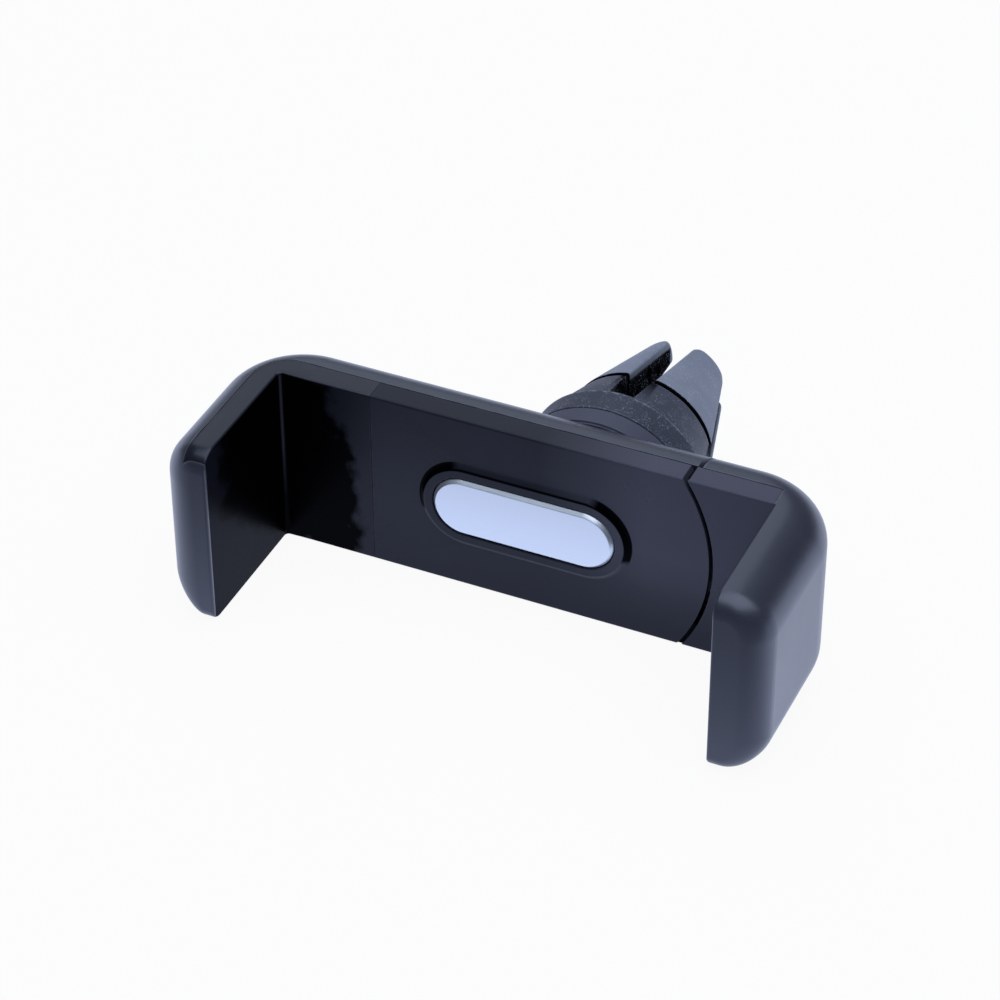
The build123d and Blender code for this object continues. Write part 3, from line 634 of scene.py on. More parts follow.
# Painted shade and dark reflection: the sloping sides of the surround are painted black on the
# rounds, with a dark line painted along the ring's upper edge. Painted shadow: the curved gap is
# painted dark inside. A painted reflection makes the right side paler, and painted shade makes the
# lower edge deeper.
SLOPE_NEAR, SLOPE_FAR, LINE_NEAR, LINE_FAR = (4.56, 4.62), (5.36, 5.28), (4.5, 4.58), (4.82, 4.68)
SHEEN_ALONG, SHEEN_UP, SHADE_DOWN = (2.0, 14.0), (-9.0, 0.0), (-3.0, -9.5)
tree = panel_plastic.node_tree
spot, x, y, z = place_in_mm(tree)
off_middle = calc(tree, "ABSOLUTE", calc(tree, "SUBTRACT", x, SURROUND_X))
past = calc(tree, "MAXIMUM", calc(tree, "SUBTRACT", off_middle, SURROUND_HALF), 0.0)
from_middle = away(tree, past, z)
upward = calc(tree, "DIVIDE", z, from_middle)
sideways = calc(tree, "DIVIDE", past, from_middle)
slope = product(
    tree, ramp(tree, from_middle, *SLOPE_NEAR), ramp(tree, from_middle, *SLOPE_FAR),
    ramp(tree, sideways, 0.1, 0.3), ramp(tree, upward, -0.4, -0.28),
)
rim_line = product(
    tree, ramp(tree, from_middle, *LINE_NEAR), ramp(tree, from_middle, *LINE_FAR),
    ramp(tree, upward, 0.6, 0.8),
)
on_face = product(tree, calc(tree, "MAXIMUM", slope, rim_line), ramp(tree, y, 0.1, 0.0))
from_arc = away(tree, calc(tree, "SUBTRACT", x, GAP_X), z)
# Painted shadow inside the curved gap.
in_gap = product(
    tree, ramp(tree, from_arc, GAP_ROUND - 0.02, GAP_ROUND + 0.02), ramp(tree, y, 0.1, 0.3),
    ramp(tree, from_arc, GAP_ROUND + 0.62, GAP_ROUND + 0.56), ramp(tree, x, 0.0, 1.0),
)
# Painted reflection: the right side of the face turns paler.
painted_sheen = product(tree, ramp(tree, x, *SHEEN_ALONG), ramp(tree, z, *SHEEN_UP), 0.75)
tint_where(panel_plastic, painted_sheen, (0.085, 0.088, 0.13))
# Painted shade: the lower part of the face turns darker.
painted_shade_low = product(tree, ramp(tree, z, *SHADE_DOWN), 0.6)
tint_where(panel_plastic, painted_shade_low, (0.005, 0.005, 0.009))
paint_black_shade(panel_plastic, calc(tree, "MAXIMUM", on_face, in_gap), 0.22)
wear(front_panel, panel_plastic)
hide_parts("front_panel")
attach(front_panel, "cradle")

# Inlay plate: a thin silvered oval plate with a bevelled edge, glued into the surround and left
# bare.
INLAY_R, INLAY_FRONT = 3.46, -0.85
inlay = oval_block(
    "inlay_moulding",
    [
        (INLAY_R, 0.15), (INLAY_R, INLAY_FRONT + 0.38), (INLAY_R - 0.02, INLAY_FRONT + 0.35),
        (INLAY_R - 0.32, INLAY_FRONT + 0.05), (INLAY_R - 0.35, INLAY_FRONT + 0.02),
        (INLAY_R - 0.4, INLAY_FRONT),
    ],
)
smooth_by_face(inlay)


def metal(name, dark, light, roughness, scale, detail, bump, bump_mm, metallic=1.0, stretch=None):
    """A metal whose tone, gloss and height follow one noise, drawn out along X by a stretch."""
    stuff = bpy.data.materials.new(name)
    stuff.use_nodes = True
    tree = stuff.node_tree
    shader = tree.nodes["Principled BSDF"]
    shader.inputs["Metallic"].default_value = metallic
    spot = node(tree, "ShaderNodeTexCoord").outputs["Object"]
    if stretch:
        drawn_out = node(tree, "ShaderNodeMapping")
        drawn_out.inputs["Scale"].default_value = (stretch, 1, 1)
        tree.links.new(spot, drawn_out.inputs["Vector"])
        spot = drawn_out.outputs["Vector"]
    marks = noise(tree, spot, scale, detail)
    tree.links.new(mix(tree, marks, dark, light), shader.inputs["Base Color"])
    matt = node(tree, "ShaderNodeMapRange")
    matt.inputs["To Min"].default_value, matt.inputs["To Max"].default_value = roughness
    tree.links.new(marks, matt.inputs["Value"])
    wire(tree, matt, "Result", shader, "Roughness")
    relief = node(tree, "ShaderNodeBump")
    relief.inputs["Strength"].default_value = bump
    relief.inputs["Distance"].default_value = bump_mm * MM
    tree.links.new(marks, relief.inputs["Height"])
    wire(tree, relief, "Normal", shader, "Normal")
    return stuff


plate_metal = metal(
    "plate_metal", (0.74, 0.81, 0.93), (0.79, 0.86, 0.97), roughness=(0.3, 0.42),
    scale=4200.0, detail=3.0, bump=0.08, bump_mm=0.02, metallic=0.8, stretch=0.06,
)
wear(inlay, plate_metal)
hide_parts("inlay_plate")
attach(inlay, "cradle")

# Sliding jaw: back half, right arm and tongue in one ABS moulding. The tongue is a flat plate with
# a long slot for the springs, and barbs that stop it at full travel.
sliding_jaw = moulding("sliding_jaw_moulding", [moving_back], [band_room])
TONGUE_FRONT, TONGUE_BACK, TONGUE_HALF = 1.65, 4.35, 4.0
TONGUE_LEFT, TONGUE_RIGHT, BARB_HEEL, BARB_TOE, BARB_HALF = -21.5, 24.0, -19.5, -20.5, 5.0
SPRING_SLOT_END, SPRING_SLOT_HALF = -8.0, 2.75
tongue_upper = [
    (TONGUE_RIGHT, TONGUE_HALF), (BARB_HEEL, TONGUE_HALF), (BARB_HEEL, BARB_HALF),
    (BARB_TOE, BARB_HALF), (TONGUE_LEFT, TONGUE_HALF), (TONGUE_LEFT, SPRING_SLOT_HALF),
    (SPRING_SLOT_END, SPRING_SLOT_HALF),
]
tongue_lower = [(x, -z) for x, z in reversed(tongue_upper)]
tongue = prism("tongue", tongue_upper + tongue_lower, TONGUE_FRONT, TONGUE_BACK, facing)
cut_once(sliding_jaw, tongue, "UNION")
sink_screws(sliding_jaw, (JAW_SCREW_X,))
soften(sliding_jaw, 0.08)
wear(sliding_jaw, shell_plastic)
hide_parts("sliding_jaw")
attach(sliding_jaw, "jaw")

# Sliding jaw cover: the plastic moulding that faces the sliding half, from the curved gap to the
# inner corner. Two screws from the back hold it over the tongue.
jaw_cover = moulding("jaw_cover_moulding", [moving_face, band_zone])
TONGUE_SLACK, ROOM_BACK = 0.02, 10
room = rectangle(TONGUE_WAY_LEFT, TONGUE_RIGHT + TONGUE_SLACK, TONGUE_HALF + TONGUE_SLACK)
behind_tongue = prism("behind_tongue", room, TONGUE_FRONT - TONGUE_SLACK, ROOM_BACK, facing)
cut_once(jaw_cover, behind_tongue)
soften(jaw_cover, 0.05)
wear(jaw_cover, panel_plastic)
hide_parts("sliding_jaw_cover")
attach(jaw_cover, "jaw")

for zone in (
    still_face, still_back, moving_face, moving_back, band_zone, band_room, hollow, tongue_way
):
    bpy.data.objects.remove(zone)

# Case screws: six blackened steel pan heads with a cross recess, driven into the seats in the
# back. All are one head, repeated on its places.
def named_tree(name, given, sockets, result):
    """A geometry-node tree with named inputs, and the nodes at its two ends."""
    tree = bpy.data.node_groups.new(name, "GeometryNodeTree")
    for label, kind, value in ((given, "Geometry", None), *sockets, ("Stuff", "Material", None)):
        socket = tree.interface.new_socket(label, in_out="INPUT", socket_type="NodeSocket" + kind)
        if value is not None:
            socket.default_value = value
    tree.interface.new_socket(result, in_out="OUTPUT", socket_type="NodeSocketGeometry")
    return tree, tree.nodes.new("NodeGroupInput"), tree.nodes.new("NodeGroupOutput")


def coat_and_end(tree, start, made, end):
    """Turns what a tree has made into real mesh and gives it its material."""
    real = node(tree, "GeometryNodeRealizeInstances")
    tree.links.new(made, real.inputs["Geometry"])
    coat = node(tree, "GeometryNodeSetMaterial")
    wire(tree, real, "Geometry", coat, "Geometry")
    wire(tree, start, "Stuff", coat, "Material")
    wire(tree, coat, "Geometry", end, 0)


def grow(name, points, edges, tree, stuff):
    """The plain mesh that a tree makes from points and edges."""
    mesh = bpy.data.meshes.new(name)
    mesh.from_pydata([Vector(p) * MM for p in points], edges, [])
    piece = added(name, mesh)
    made = piece.modifiers.new("made", "NODES")
    made.node_group = tree
    made[tree.interface.items_tree["Stuff"].identifier] = stuff
    settle(piece)
    return piece


screw_tree, tree_in, tree_out = named_tree(
    "pan_heads", "Places",
    (
        ("Head radius", "Float", 1.5 * MM), ("Head height", "Float", 0.9 * MM),
        ("Recess width", "Float", 0.4 * MM), ("Recess depth", "Float", 0.45 * MM),
    ),
    "Heads",
)
radius, height = tree_in.outputs["Head radius"], tree_in.outputs["Head height"]


def raised(part, by):
    up = node(screw_tree, "ShaderNodeCombineXYZ")
    screw_tree.links.new(by, up.inputs["Z"])
    lifted = node(screw_tree, "GeometryNodeTransform")
    wire(screw_tree, part, "Mesh", lifted, "Geometry")
    wire(screw_tree, up, 0, lifted, "Translation")
    return lifted.outputs["Geometry"]


rim = node(screw_tree, "GeometryNodeMeshCylinder")
rim.inputs["Vertices"].default_value = 48
put(screw_tree, radius, rim.inputs["Radius"])
put(screw_tree, product(screw_tree, height, 0.6), rim.inputs["Depth"])
crown = node(screw_tree, "GeometryNodeMeshCone")
crown.inputs["Vertices"].default_value = 48
put(screw_tree, radius, crown.inputs["Radius Bottom"])
put(screw_tree, product(screw_tree, radius, 0.72), crown.inputs["Radius Top"])
put(screw_tree, product(screw_tree, height, 0.4), crown.inputs["Depth"])
whole = node(screw_tree, "GeometryNodeMeshBoolean", operation="UNION", solver="EXACT")
for part, share in ((rim, 0.3), (crown, 0.6)):
    put(screw_tree, raised(part, product(screw_tree, height, share)), whole.inputs["Mesh 2"])
crossed = node(screw_tree, "GeometryNodeMeshBoolean", operation="DIFFERENCE", solver="EXACT")
wire(screw_tree, whole, "Mesh", crossed, "Mesh 1")
for long_way, across in ("XY", "YX"):
    size = node(screw_tree, "ShaderNodeCombineXYZ")
    put(screw_tree, product(screw_tree, radius, 1.2), size.inputs[long_way])
    put(screw_tree, tree_in.outputs["Recess width"], size.inputs[across])
    put(screw_tree, product(screw_tree, tree_in.outputs["Recess depth"], 2), size.inputs["Z"])
    bar = node(screw_tree, "GeometryNodeMeshCube")
    wire(screw_tree, size, 0, bar, "Size")
    put(screw_tree, raised(bar, height), crossed.inputs["Mesh 2"])
turn_back = node(screw_tree, "GeometryNodeTransform")
turn_back.inputs["Rotation"].default_value = (-pi / 2, 0, 0)
wire(screw_tree, crossed, "Mesh", turn_back, "Geometry")
stamp = node(screw_tree, "GeometryNodeInstanceOnPoints")
wire(screw_tree, tree_in, "Places", stamp, "Points")
wire(screw_tree, turn_back, "Geometry", stamp, "Instance")
swing = node(screw_tree, "FunctionNodeRandomValue", data_type="FLOAT")
swing.inputs["Seed"].default_value = 7
rest = node(screw_tree, "ShaderNodeCombineXYZ")
for made in swing.inputs:
    if made.name == "Max" and made.type == "VALUE":
        made.default_value = 1.2
screw_tree.links.new([o for o in swing.outputs if o.type == "VALUE"][0], rest.inputs["Y"])
wire(screw_tree, rest, 0, stamp, "Rotation")
coat_and_end(screw_tree, tree_in, stamp.outputs["Instances"], tree_out)

screw_steel = metal(
    "screw_steel", (0.06, 0.06, 0.065), (0.15, 0.15, 0.16), roughness=(0.25, 0.5),
    scale=1500.0, detail=4.0, bump=0.15, bump_mm=0.03,
)


def drive(name, places, node_name, body):
    screws = grow(name, places, [], screw_tree, screw_steel)
    smooth_by_face(screws, 30)
    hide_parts(node_name)
    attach(screws, body)


for name, columns, node_name, body in (
    ("body_screw_heads", (LEFT_SCREW_X, RIGHT_SCREW_X), "body_screws", "cradle"),
    ("jaw_cover_screw_heads", (JAW_SCREW_X,), "jaw_cover_screws", "jaw"),
):
    drive(name, [(x, HEAD_SEAT, z) for x in columns for z in (SCREW_Z, -SCREW_Z)], node_name, body)

# Swivel collar: a smooth ring of hard plastic seated in the back shell, with a narrower neck at
# its front. The clip's turntable runs on its face.
BORE_R, COLLAR_R, COLLAR_REAR, COLLAR_EDGE = 1.65, 10.0, 8.5, 0.18
NECK_R, NECK_REAR = 9.76, 6.12


def turned_piece(name, profile, steps=160):
    """A closed form turned about the swivel's axis, from radii and depths."""
    rings = []
    for k in range(steps):
        a = 2 * pi * k / steps
        rings.append([(CLIP_X + r * cos(a), y, r * sin(a)) for r, y in profile])
    return new_piece(name, *skin_over(rings, closed=True))


def quarter_round(r, y, size, start, steps=5):
    """Points of a quarter round about its centre, from a start angle."""
    turns = [start + pi / 2 * k / steps for k in range(steps + 1)]
    return [(r + size * cos(a), y + size * sin(a)) for a in turns]


collar = turned_piece(
    "collar_moulding",
    [
        (BORE_R, POCKET_FLOOR), (NECK_R, POCKET_FLOOR), (NECK_R, NECK_REAR),
        (COLLAR_R - 0.1, NECK_REAR), (COLLAR_R - 0.03, NECK_REAR + 0.03),
        (COLLAR_R, NECK_REAR + 0.1),
        *quarter_round(COLLAR_R - COLLAR_EDGE, COLLAR_REAR - COLLAR_EDGE, COLLAR_EDGE, 0),
        (BORE_R, COLLAR_REAR),
    ],
)
smooth_by_face(collar, 30)
collar_plastic = plastic(
    "collar_plastic", (0.06, 0.063, 0.094), (0.074, 0.078, 0.115), (0.15, 0.16, 0.21),
    gloss=0.5, dull=0.62, grain_mm=0.2, bump=0.3, wear_sheen_share=0.3, level=0.5,
)
wear(collar, collar_plastic)
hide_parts("swivel_collar")
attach(collar, "cradle")

# Clip core: a turntable with four prongs in one nylon moulding, with a coarse sparked texture. Its
# prongs are parted by two crossing slots and carry the rubber sleeves. A painted highlight lies
# pale along its rim.
BASE_REAR, SLOT_HALF, SLOT_FLOOR, SLEEVE_START, PRONG_TIP = 11.9, 1.4, 12.4, 17.5, 30.8
BASE_R, TIP_R, SLEEVE_WALL = 9.6, 4.7, 0.6
SWIVEL_GAP, RUNNER_R, SCREW_WELL_R, SCREW_WELL_FLOOR, CENTRE_R = 0.04, 9.5, 2.6, 10.6, 0.4
LOWER_EDGE, UPPER_EDGE = 0.14, 0.2
taper = (BASE_R - TIP_R) / (PRONG_TIP - SLOT_FLOOR)
start_r = BASE_R - taper * (SLEEVE_START - SLOT_FLOOR)
CORE_TIP = 28.2
core_tip_r = BASE_R - taper * (CORE_TIP - SLOT_FLOOR) - SLEEVE_WALL
clip_core = turned_piece(
    "clip_core_moulding",
    [
        (BORE_R, COLLAR_REAR + SWIVEL_GAP), (RUNNER_R, COLLAR_REAR + SWIVEL_GAP),
        (RUNNER_R, COLLAR_REAR + 0.12),
        *quarter_round(COLLAR_R - LOWER_EDGE, COLLAR_REAR + 0.12 + LOWER_EDGE, LOWER_EDGE, -pi / 2),
        *quarter_round(COLLAR_R - UPPER_EDGE, BASE_REAR - UPPER_EDGE, UPPER_EDGE, 0),
        (BASE_R + 0.02, BASE_REAR + 0.02), (BASE_R, BASE_REAR + 0.1), (BASE_R, SLOT_FLOOR),
        (start_r, SLEEVE_START), (start_r - SLEEVE_WALL, SLEEVE_START), (core_tip_r, CORE_TIP),
        (CENTRE_R, CORE_TIP), (CENTRE_R, SCREW_WELL_FLOOR), (BORE_R, SCREW_WELL_FLOOR),
    ],
)
well = prism(
    "well", disc(SCREW_WELL_R, 64, CLIP_X, 0), SCREW_WELL_FLOOR, SLOT_FLOOR + 0.1, facing
)
cut_once(clip_core, well)
SLOT_REACH = 14
for half, floor in ((SLOT_HALF, SLOT_FLOOR), (SLOT_HALF + SLEEVE_WALL, SLEEVE_START)):
    for half_x, half_z in ((half, SLOT_REACH), (SLOT_REACH, half)):
        outline = rectangle(CLIP_X - half_x, CLIP_X + half_x, half_z)
        slot = prism("slot", outline, floor, FAR, facing)
        cut_once(clip_core, slot)
soften(clip_core, 0.12)

# Sparked texture: pale specks over the prongs and base, and painted black shade on the faces inside
# the slots and in the groove by the sleeves. Core and sleeves both have it.
sparked, sparked_in, sparked_out = group(
    "sparked_texture",
    [
        ("Speck size", "NodeSocketFloat", 0.16),
        ("Speck share", "NodeSocketFloat", 0.5),
        ("Color", "NodeSocketColor", (0.03, 0.03, 0.04, 1)),
        ("Speck tone", "NodeSocketColor", (0.3, 0.32, 0.4, 1)),
        ("Slot shade mask", "NodeSocketFloat", 0.0),
        ("Slot shade tone", "NodeSocketColor", (0.001, 0.001, 0.002, 1)),
    ],
    [("Color", "NodeSocketColor"), ("Specks", "NodeSocketFloat")],
)
spot = node(sparked, "ShaderNodeTexCoord").outputs["Object"]
speck_scale = calc(sparked, "DIVIDE", 1000.0, sparked_in.outputs["Speck size"])
plain, slot_shade = sparked_in.outputs["Color"], sparked_in.outputs["Slot shade mask"]
specks = product(
    sparked, ramp(sparked, noise(sparked, spot, speck_scale, 1.0), 0.57, 0.7),
    ramp(sparked, noise(sparked, spot, 700.0), 0.4, 0.6), ramp(sparked, slot_shade, 1.4, 1.0),
    sparked_in.outputs["Speck share"],
)
slot_shaded = mix(sparked, slot_shade, plain, sparked_in.outputs["Slot shade tone"])
specked = mix(sparked, specks, slot_shaded, sparked_in.outputs["Speck tone"])
sparked.links.new(specked, sparked_out.inputs["Color"])
sparked.links.new(specks, sparked_out.inputs["Specks"])


def spark(stuff, size, share, tone):
    """Lays the sparked texture over a plastic, with painted black shade, matt and with its specular
    turned down, where a mesh attribute marks the slots and groove.
    """
    tree = stuff.node_tree
    shader = tree.nodes["Principled BSDF"]
    over = node(tree, "ShaderNodeGroup", node_tree=sparked)
    over.inputs["Speck size"].default_value = size
    over.inputs["Speck share"].default_value = share
    over.inputs["Speck tone"].default_value = (*tone, 1)
    slot_shade = node(tree, "ShaderNodeAttribute", attribute_name="slot_shade")
    tree.links.new(shader.inputs["Base Color"].links[0].from_socket, over.inputs["Color"])
    wire(tree, slot_shade, "Fac", over, "Slot shade mask")
    wire(tree, over, "Color", shader, "Base Color")
    unlit = node(tree, "ShaderNodeMapRange")
    unlit.inputs["To Min"].default_value = shader.inputs["Specular IOR Level"].default_value
    unlit.inputs["To Max"].default_value = 0.03
    wire(tree, slot_shade, "Fac", unlit, "Value")
    wire(tree, unlit, "Result", shader, "Specular IOR Level")
    plain = shader.inputs["Roughness"].links[0].from_socket
    matt = calc(tree, "MAXIMUM", plain, ramp(tree, slot_shade.outputs["Fac"], 0.0, 1.0))
    tree.links.new(matt, shader.inputs["Roughness"])


def mark_slot_shade(piece, marks):
    """Stores 0 outside, 1 on the slot faces and 2 in the smooth groove by the sleeves, the places
    painted black as shade.
    """
    layer = piece.data.attributes.new("slot_shade", "FLOAT", "POINT")
    layer.data.foreach_set("value", marks)


# Painted shade: the core's slot faces and the groove are marked to be painted black.
slot_shade_marks = []
for v in clip_core.data.vertices:
    x, z = abs(v.co.x / MM - CLIP_X), abs(v.co.z / MM)
    y = v.co.y / MM
    in_slot = min(x, z) < SLOT_HALF + 0.62 and y > SLOT_FLOOR - 0.1 and hypot(x, z) < BASE_R - 0.45
    in_groove = y > SLEEVE_START + 0.02 or hypot(x, z) < start_r - 0.4
    slot_shade_marks.append(1.0 if in_slot else 2.0 if in_groove else 0.0)
mark_slot_shade(clip_core, slot_shade_marks)
clip_plastic = plastic(
    "clip_plastic", (0.028, 0.031, 0.048), (0.05, 0.054, 0.08), (0.3, 0.32, 0.41),
    gloss=0.42, dull=0.62, grain_mm=0.22, bump=1.0, wear_sheen_share=0.8, reach=0.3, level=0.5,
)
spark(clip_plastic, 0.17, 0.6, (0.32, 0.35, 0.45))
# Painted highlight: a pale, crumbled band round the rim of the base.
RIM_BEGINS, RIM_ENDS = (11.5, 11.72), (12.05, 11.93)
tree = clip_plastic.node_tree
spot, x, y, z = place_in_mm(tree)
crumbled = noise(tree, spot.outputs["Object"], 2600.0)
rim = product(
    tree, ramp(tree, y, *RIM_BEGINS), ramp(tree, y, *RIM_ENDS),
    ramp(tree, crumbled, 0.42, 0.6), 0.7,
)
tint_where(clip_plastic, rim, (0.26, 0.28, 0.36))
wear(clip_core, clip_plastic)
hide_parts("clip_core")
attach(clip_core, "clip")

# Prong sleeves: soft rubber caps drawn over the four prongs, with rounded tongue tips and grip
# ridges across the faces that pinch the vent's blade.
SLEEVE_GROOVE, SLEEVE_PROUD, CAP_ROUND, TONGUE_LONG = 0.4, 0.15, 1.8, 4.2
RIDGE_STEP, RIDGE_IN, RIDGE_ROOT = 2.6, 0.13, 0.8
SLEEVE_FRONT = SLEEVE_START + SLEEVE_GROOVE
ridge_tree, ridge_in, ridge_out = named_tree(
    "grip_ridges", "Lines", (("Ridge radius", "Float", 0.35 * MM), ("Sides", "Int", 16)), "Ridges"
)
as_curve = node(ridge_tree, "GeometryNodeMeshToCurve")
wire(ridge_tree, ridge_in, "Lines", as_curve, "Mesh")
bar = node(ridge_tree, "GeometryNodeCurvePrimitiveCircle")
wire(ridge_tree, ridge_in, "Sides", bar, "Resolution")
wire(ridge_tree, ridge_in, "Ridge radius", bar, "Radius")
drawn = node(ridge_tree, "GeometryNodeCurveToMesh")
wire(ridge_tree, as_curve, "Curve", drawn, "Curve")
wire(ridge_tree, bar, "Curve", drawn, "Profile Curve")
drawn.inputs["Fill Caps"].default_value = True
coat_and_end(ridge_tree, ridge_in, drawn.outputs["Mesh"], ridge_out)

sleeve_rubber = plastic(
    "sleeve_rubber", (0.17, 0.193, 0.26), (0.26, 0.287, 0.37), (0.38, 0.41, 0.51),
    gloss=0.5, dull=0.62, grain_mm=0.3, bump=0.6, wear_sheen_share=0.6, reach=0.5, level=0.5,
)
spark(sleeve_rubber, 0.16, 0.7, (0.46, 0.5, 0.62))
cap_tip_r = TIP_R + SLEEVE_PROUD
dome_y = PRONG_TIP - CAP_ROUND
lean = atan2(taper, 1)
dome_r = cap_tip_r + taper * CAP_ROUND - CAP_ROUND / cos(lean)
cap_profile = [(0, SLEEVE_FRONT), (cap_tip_r + taper * (PRONG_TIP - SLEEVE_FRONT), SLEEVE_FRONT)]
for k in range(15):
    a = lean + (pi / 2 - lean) * k / 14
    cap_profile.append((dome_r + CAP_ROUND * cos(a), dome_y + CAP_ROUND * sin(a)))
cap_profile.append((0, PRONG_TIP))

# Tongue outline, across the prong's own radius: straight sides and a half oval at the tip.
tip_half = (sqrt((cap_tip_r + taper * TONGUE_LONG) ** 2 - SLOT_HALF ** 2) - SLOT_HALF) / sqrt(2)
tongue_outline = [(SLEEVE_FRONT, tip_half + 7)]
for k in range(25):
    a = pi / 2 * (1 - k / 24)
    tongue_outline.append((PRONG_TIP - TONGUE_LONG + TONGUE_LONG * cos(a), tip_half * sin(a)))
tongue_outline += [(y, -w) for y, w in reversed(tongue_outline[:-1])]


def across_prong(y, w, depth):
    return ((depth + w) / sqrt(2), y, (depth - w) / sqrt(2))


def remesh(piece, grid, rounds):
    """Closes a rubber form into one even skin and relaxes its edges."""
    skin = piece.modifiers.new("skin", "REMESH")
    skin.mode, skin.voxel_size = "VOXEL", grid * MM
    relax = piece.modifiers.new("relax", "SMOOTH")
    relax.factor, relax.iterations = 0.5, rounds
    settle(piece)


def join(piece, other):
    both = bmesh.new()
    both.from_mesh(piece.data)
    both.from_mesh(other.data)
    both.to_mesh(piece.data)
    both.free()
    bpy.data.objects.remove(other)


cap_rings = []
for k in range(57):
    a = pi / 2 * k / 56
    cap_rings.append([(r * cos(a), y, r * sin(a)) for r, y in cap_profile])
cap = new_piece("cap", *skin_over(cap_rings))
quarter = prism(
    "quarter",
    [
        (SLOT_HALF, SLOT_HALF), (SLOT_REACH, SLOT_HALF), (SLOT_REACH, SLOT_REACH),
        (SLOT_HALF, SLOT_REACH),
    ],
    0, FAR, facing,
)
tongue = prism("tongue", tongue_outline, 0, 16, across_prong)
for form in (quarter, tongue):
    cut_once(cap, form, "INTERSECT")
remesh(cap, 0.15, 18)
lines, ends = [], []
for k in range(4):
    y = dome_y - RIDGE_STEP * k
    far = cap_tip_r + taper * (PRONG_TIP - y) - 1.7
    deep, root = SLOT_HALF + RIDGE_IN, SLOT_HALF + RIDGE_ROOT
    for pair in ([(deep, y, root), (deep, y, far)], [(root, y, deep), (far, y, deep)]):
        ends.append((len(lines), len(lines) + 1))
        lines += pair
ridges = grow("ridges", lines, ends, ridge_tree, sleeve_rubber)
join(cap, ridges)
remesh(cap, 0.12, 3)
# Painted shade: the sleeves' slot faces, short of their outer skin and tip, and the groove at their
# front are marked to be painted black.
slot_shade_marks = []
for v in cap.data.vertices:
    x, y, z = v.co / MM
    skin_r = cap_tip_r + taper * (PRONG_TIP - y)
    inward = (SLOT_HALF + 0.45 - min(x, z)) / 0.3
    under = (skin_r - (0.75 if x < z else 0.2) - hypot(x, z)) / 0.3
    behind = (PRONG_TIP - 0.9 - y) / 0.3
    at_start = (SLEEVE_FRONT + 0.36 - y) / 0.1
    slot_shade_marks.append(max(0.0, min(1.0, inward, under, behind), min(2.0, at_start)))
mark_slot_shade(cap, slot_shade_marks)


def sleeve(name, node_name, side_x, side_z):
    skin = bmesh.new()
    skin.from_mesh(cap.data)
    bmesh.ops.transform(skin, matrix=Matrix.Diagonal((side_x, 1, side_z, 1)), verts=skin.verts)
    bmesh.ops.translate(skin, vec=(CLIP_X * MM, 0, 0), verts=skin.verts)
    bmesh.ops.recalc_face_normals(skin, faces=skin.faces)
    mesh = bpy.data.meshes.new(name)
    skin.to_mesh(mesh)
    skin.free()
    piece = added(name, mesh)
    wear(piece, sleeve_rubber)
    piece.data.shade_smooth()
    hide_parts(node_name)
    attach(piece, "clip")


for across, side_x in (("left", -1), ("right", 1)):
    for along, side_z in (("upper", 1), ("lower", -1)):
        sleeve(f"sleeve_cap_{along}_{across}", f"prong_sleeve_{along}_{across}", side_x, side_z)
bpy.data.objects.remove(cap)

# Swivel fastening and springs: bare steel parts inside. A screw and two washers hold the clip on
# its post, and two coil springs between pins and tongue draw the jaw in.
spring_steel = metal(
    "spring_steel", (0.42, 0.42, 0.44), (0.62, 0.62, 0.64), roughness=(0.2, 0.4),
    scale=2600.0, detail=2.0, bump=0.1, bump_mm=0.02,
)
for name in ("upper_spring", "lower_spring", "spring_pins"):
    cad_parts[name].material_slots[0].material = spring_steel
for name in ("swivel_screw", "swivel_washer", "swivel_wave_washer"):
    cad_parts[name].material_slots[0].material = screw_steel

# Floor, light and camera: a pale floor that fades in reflections towards the front, a large soft
# box above, a small one behind to the left, and the photograph's viewing angle.
FLOOR_SPAN, FLOOR_HEIGHT = 1.5, -HALF_HEIGHT * MM - 0.0001
floor_mesh = bpy.data.meshes.new("floor")
floor_mesh.from_pydata(
    [(*corner, FLOOR_HEIGHT) for corner in rectangle(-FLOOR_SPAN, FLOOR_SPAN, FLOOR_SPAN)],
    [], [(0, 1, 2, 3)],
)
floor = added("floor", floor_mesh)
pale = bpy.data.materials.new("pale_floor")
pale.use_nodes = True
tree = pale.node_tree
shader = tree.nodes["Principled BSDF"]
shader.inputs["Base Color"].default_value = (0.86, 0.86, 0.88, 1)
shader.inputs["Roughness"].default_value = 0.9
shader.inputs["Specular IOR Level"].default_value = 0.0
glow = node(tree, "ShaderNodeEmission")
rays = node(tree, "ShaderNodeLightPath")
spot = node(tree, "ShaderNodeTexCoord")
at = node(tree, "ShaderNodeSeparateXYZ")
wire(tree, spot, "Object", at, "Vector")
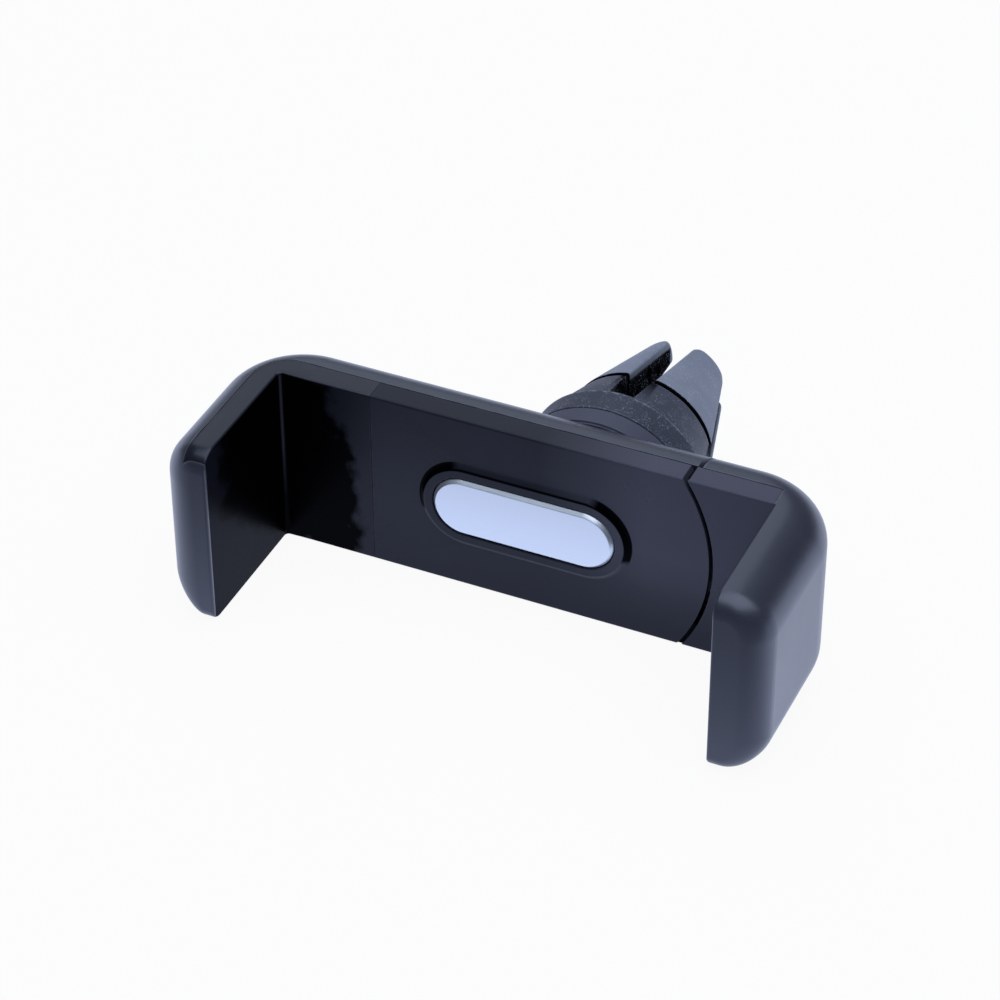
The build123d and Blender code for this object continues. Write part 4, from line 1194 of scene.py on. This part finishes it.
# Painted reflection: in glossy rays the floor glows dark in front of the holder and bright behind
# it, standing in for its shadow and light.
front_to_back = ramp(tree, at.outputs["Y"], -0.04, -0.012)
mirrored = mix(tree, front_to_back, (0.17, 0.19, 0.26), (0.95, 1.04, 1.34))
paper = mix(tree, rays.outputs["Is Camera Ray"], mirrored, (1, 1, 1))
tree.links.new(paper, glow.inputs["Color"])
seen = calc(tree, "MULTIPLY", rays.outputs["Is Camera Ray"], 0.93)
share = calc(tree, "MAXIMUM", seen, calc(tree, "MULTIPLY", rays.outputs["Is Glossy Ray"], 0.92))
blend = node(tree, "ShaderNodeMixShader")
tree.links.new(share, blend.inputs["Fac"])
wire(tree, shader, "BSDF", blend, 1)
wire(tree, glow, "Emission", blend, 2)
tree.links.new(blend.outputs[0], tree.nodes["Material Output"].inputs["Surface"])
floor_mesh.materials.append(pale)

world = bpy.data.worlds.new("room")
bpy.context.scene.world = world
world.use_nodes = True
tree = world.node_tree
room = tree.nodes["Background"]
room.inputs["Color"].default_value = (0.8, 0.87, 1.0, 1)
rays = node(tree, "ShaderNodeLightPath")
white = node(tree, "ShaderNodeBackground")
white.inputs["Color"].default_value = (1, 1, 1, 1)
white.inputs["Strength"].default_value = 1.0
room.inputs["Strength"].default_value = 0.15
choose = node(tree, "ShaderNodeMixShader")
wire(tree, rays, "Is Camera Ray", choose, "Fac")
tree.links.new(room.outputs[0], choose.inputs[1])
tree.links.new(white.outputs[0], choose.inputs[2])
tree.links.new(choose.outputs[0], tree.nodes["World Output"].inputs["Surface"])


def soft_box(name, place, aim, size, power):
    lamp = bpy.data.lights.new(name, "AREA")
    lamp.shape, lamp.size, lamp.size_y, lamp.energy = "RECTANGLE", size[0], size[1], power
    lamp.color = (0.84, 0.9, 1.0)
    box = added(name, lamp)
    box.location = place
    box.rotation_euler = (Vector(aim) - Vector(place)).to_track_quat("-Z", "Y").to_euler()


soft_box("overhead", place=(0.1, -0.05, 0.7), aim=(0, 0, 0), size=(1.0, 1.0), power=5.5)
soft_box("behind", place=(-0.3, 0.48, 0.43), aim=(0, 0, 0), size=(0.5, 0.5), power=0.58)

TARGET, CAMERA_AWAY = Vector((0, -0.44, 0)) * MM, 354.8
AZIMUTH, ELEVATION = radians(24.18), radians(37.80)
back = Vector((sin(AZIMUTH) * cos(ELEVATION), -cos(AZIMUTH) * cos(ELEVATION), sin(ELEVATION)))
lens = bpy.data.cameras.new("camera")
lens.lens, lens.sensor_width = 123.9, 36.0
lens.shift_x, lens.shift_y = -0.01857, 0.02187
lens.clip_start, lens.clip_end = 0.01, 10
camera = added("camera", lens)
camera.location = TARGET + back * CAMERA_AWAY * MM
camera.rotation_euler = (-back).to_track_quat("-Z", "Y").to_euler()
bpy.context.scene.camera = camera
bpy.context.scene.view_settings.view_transform = "Standard"
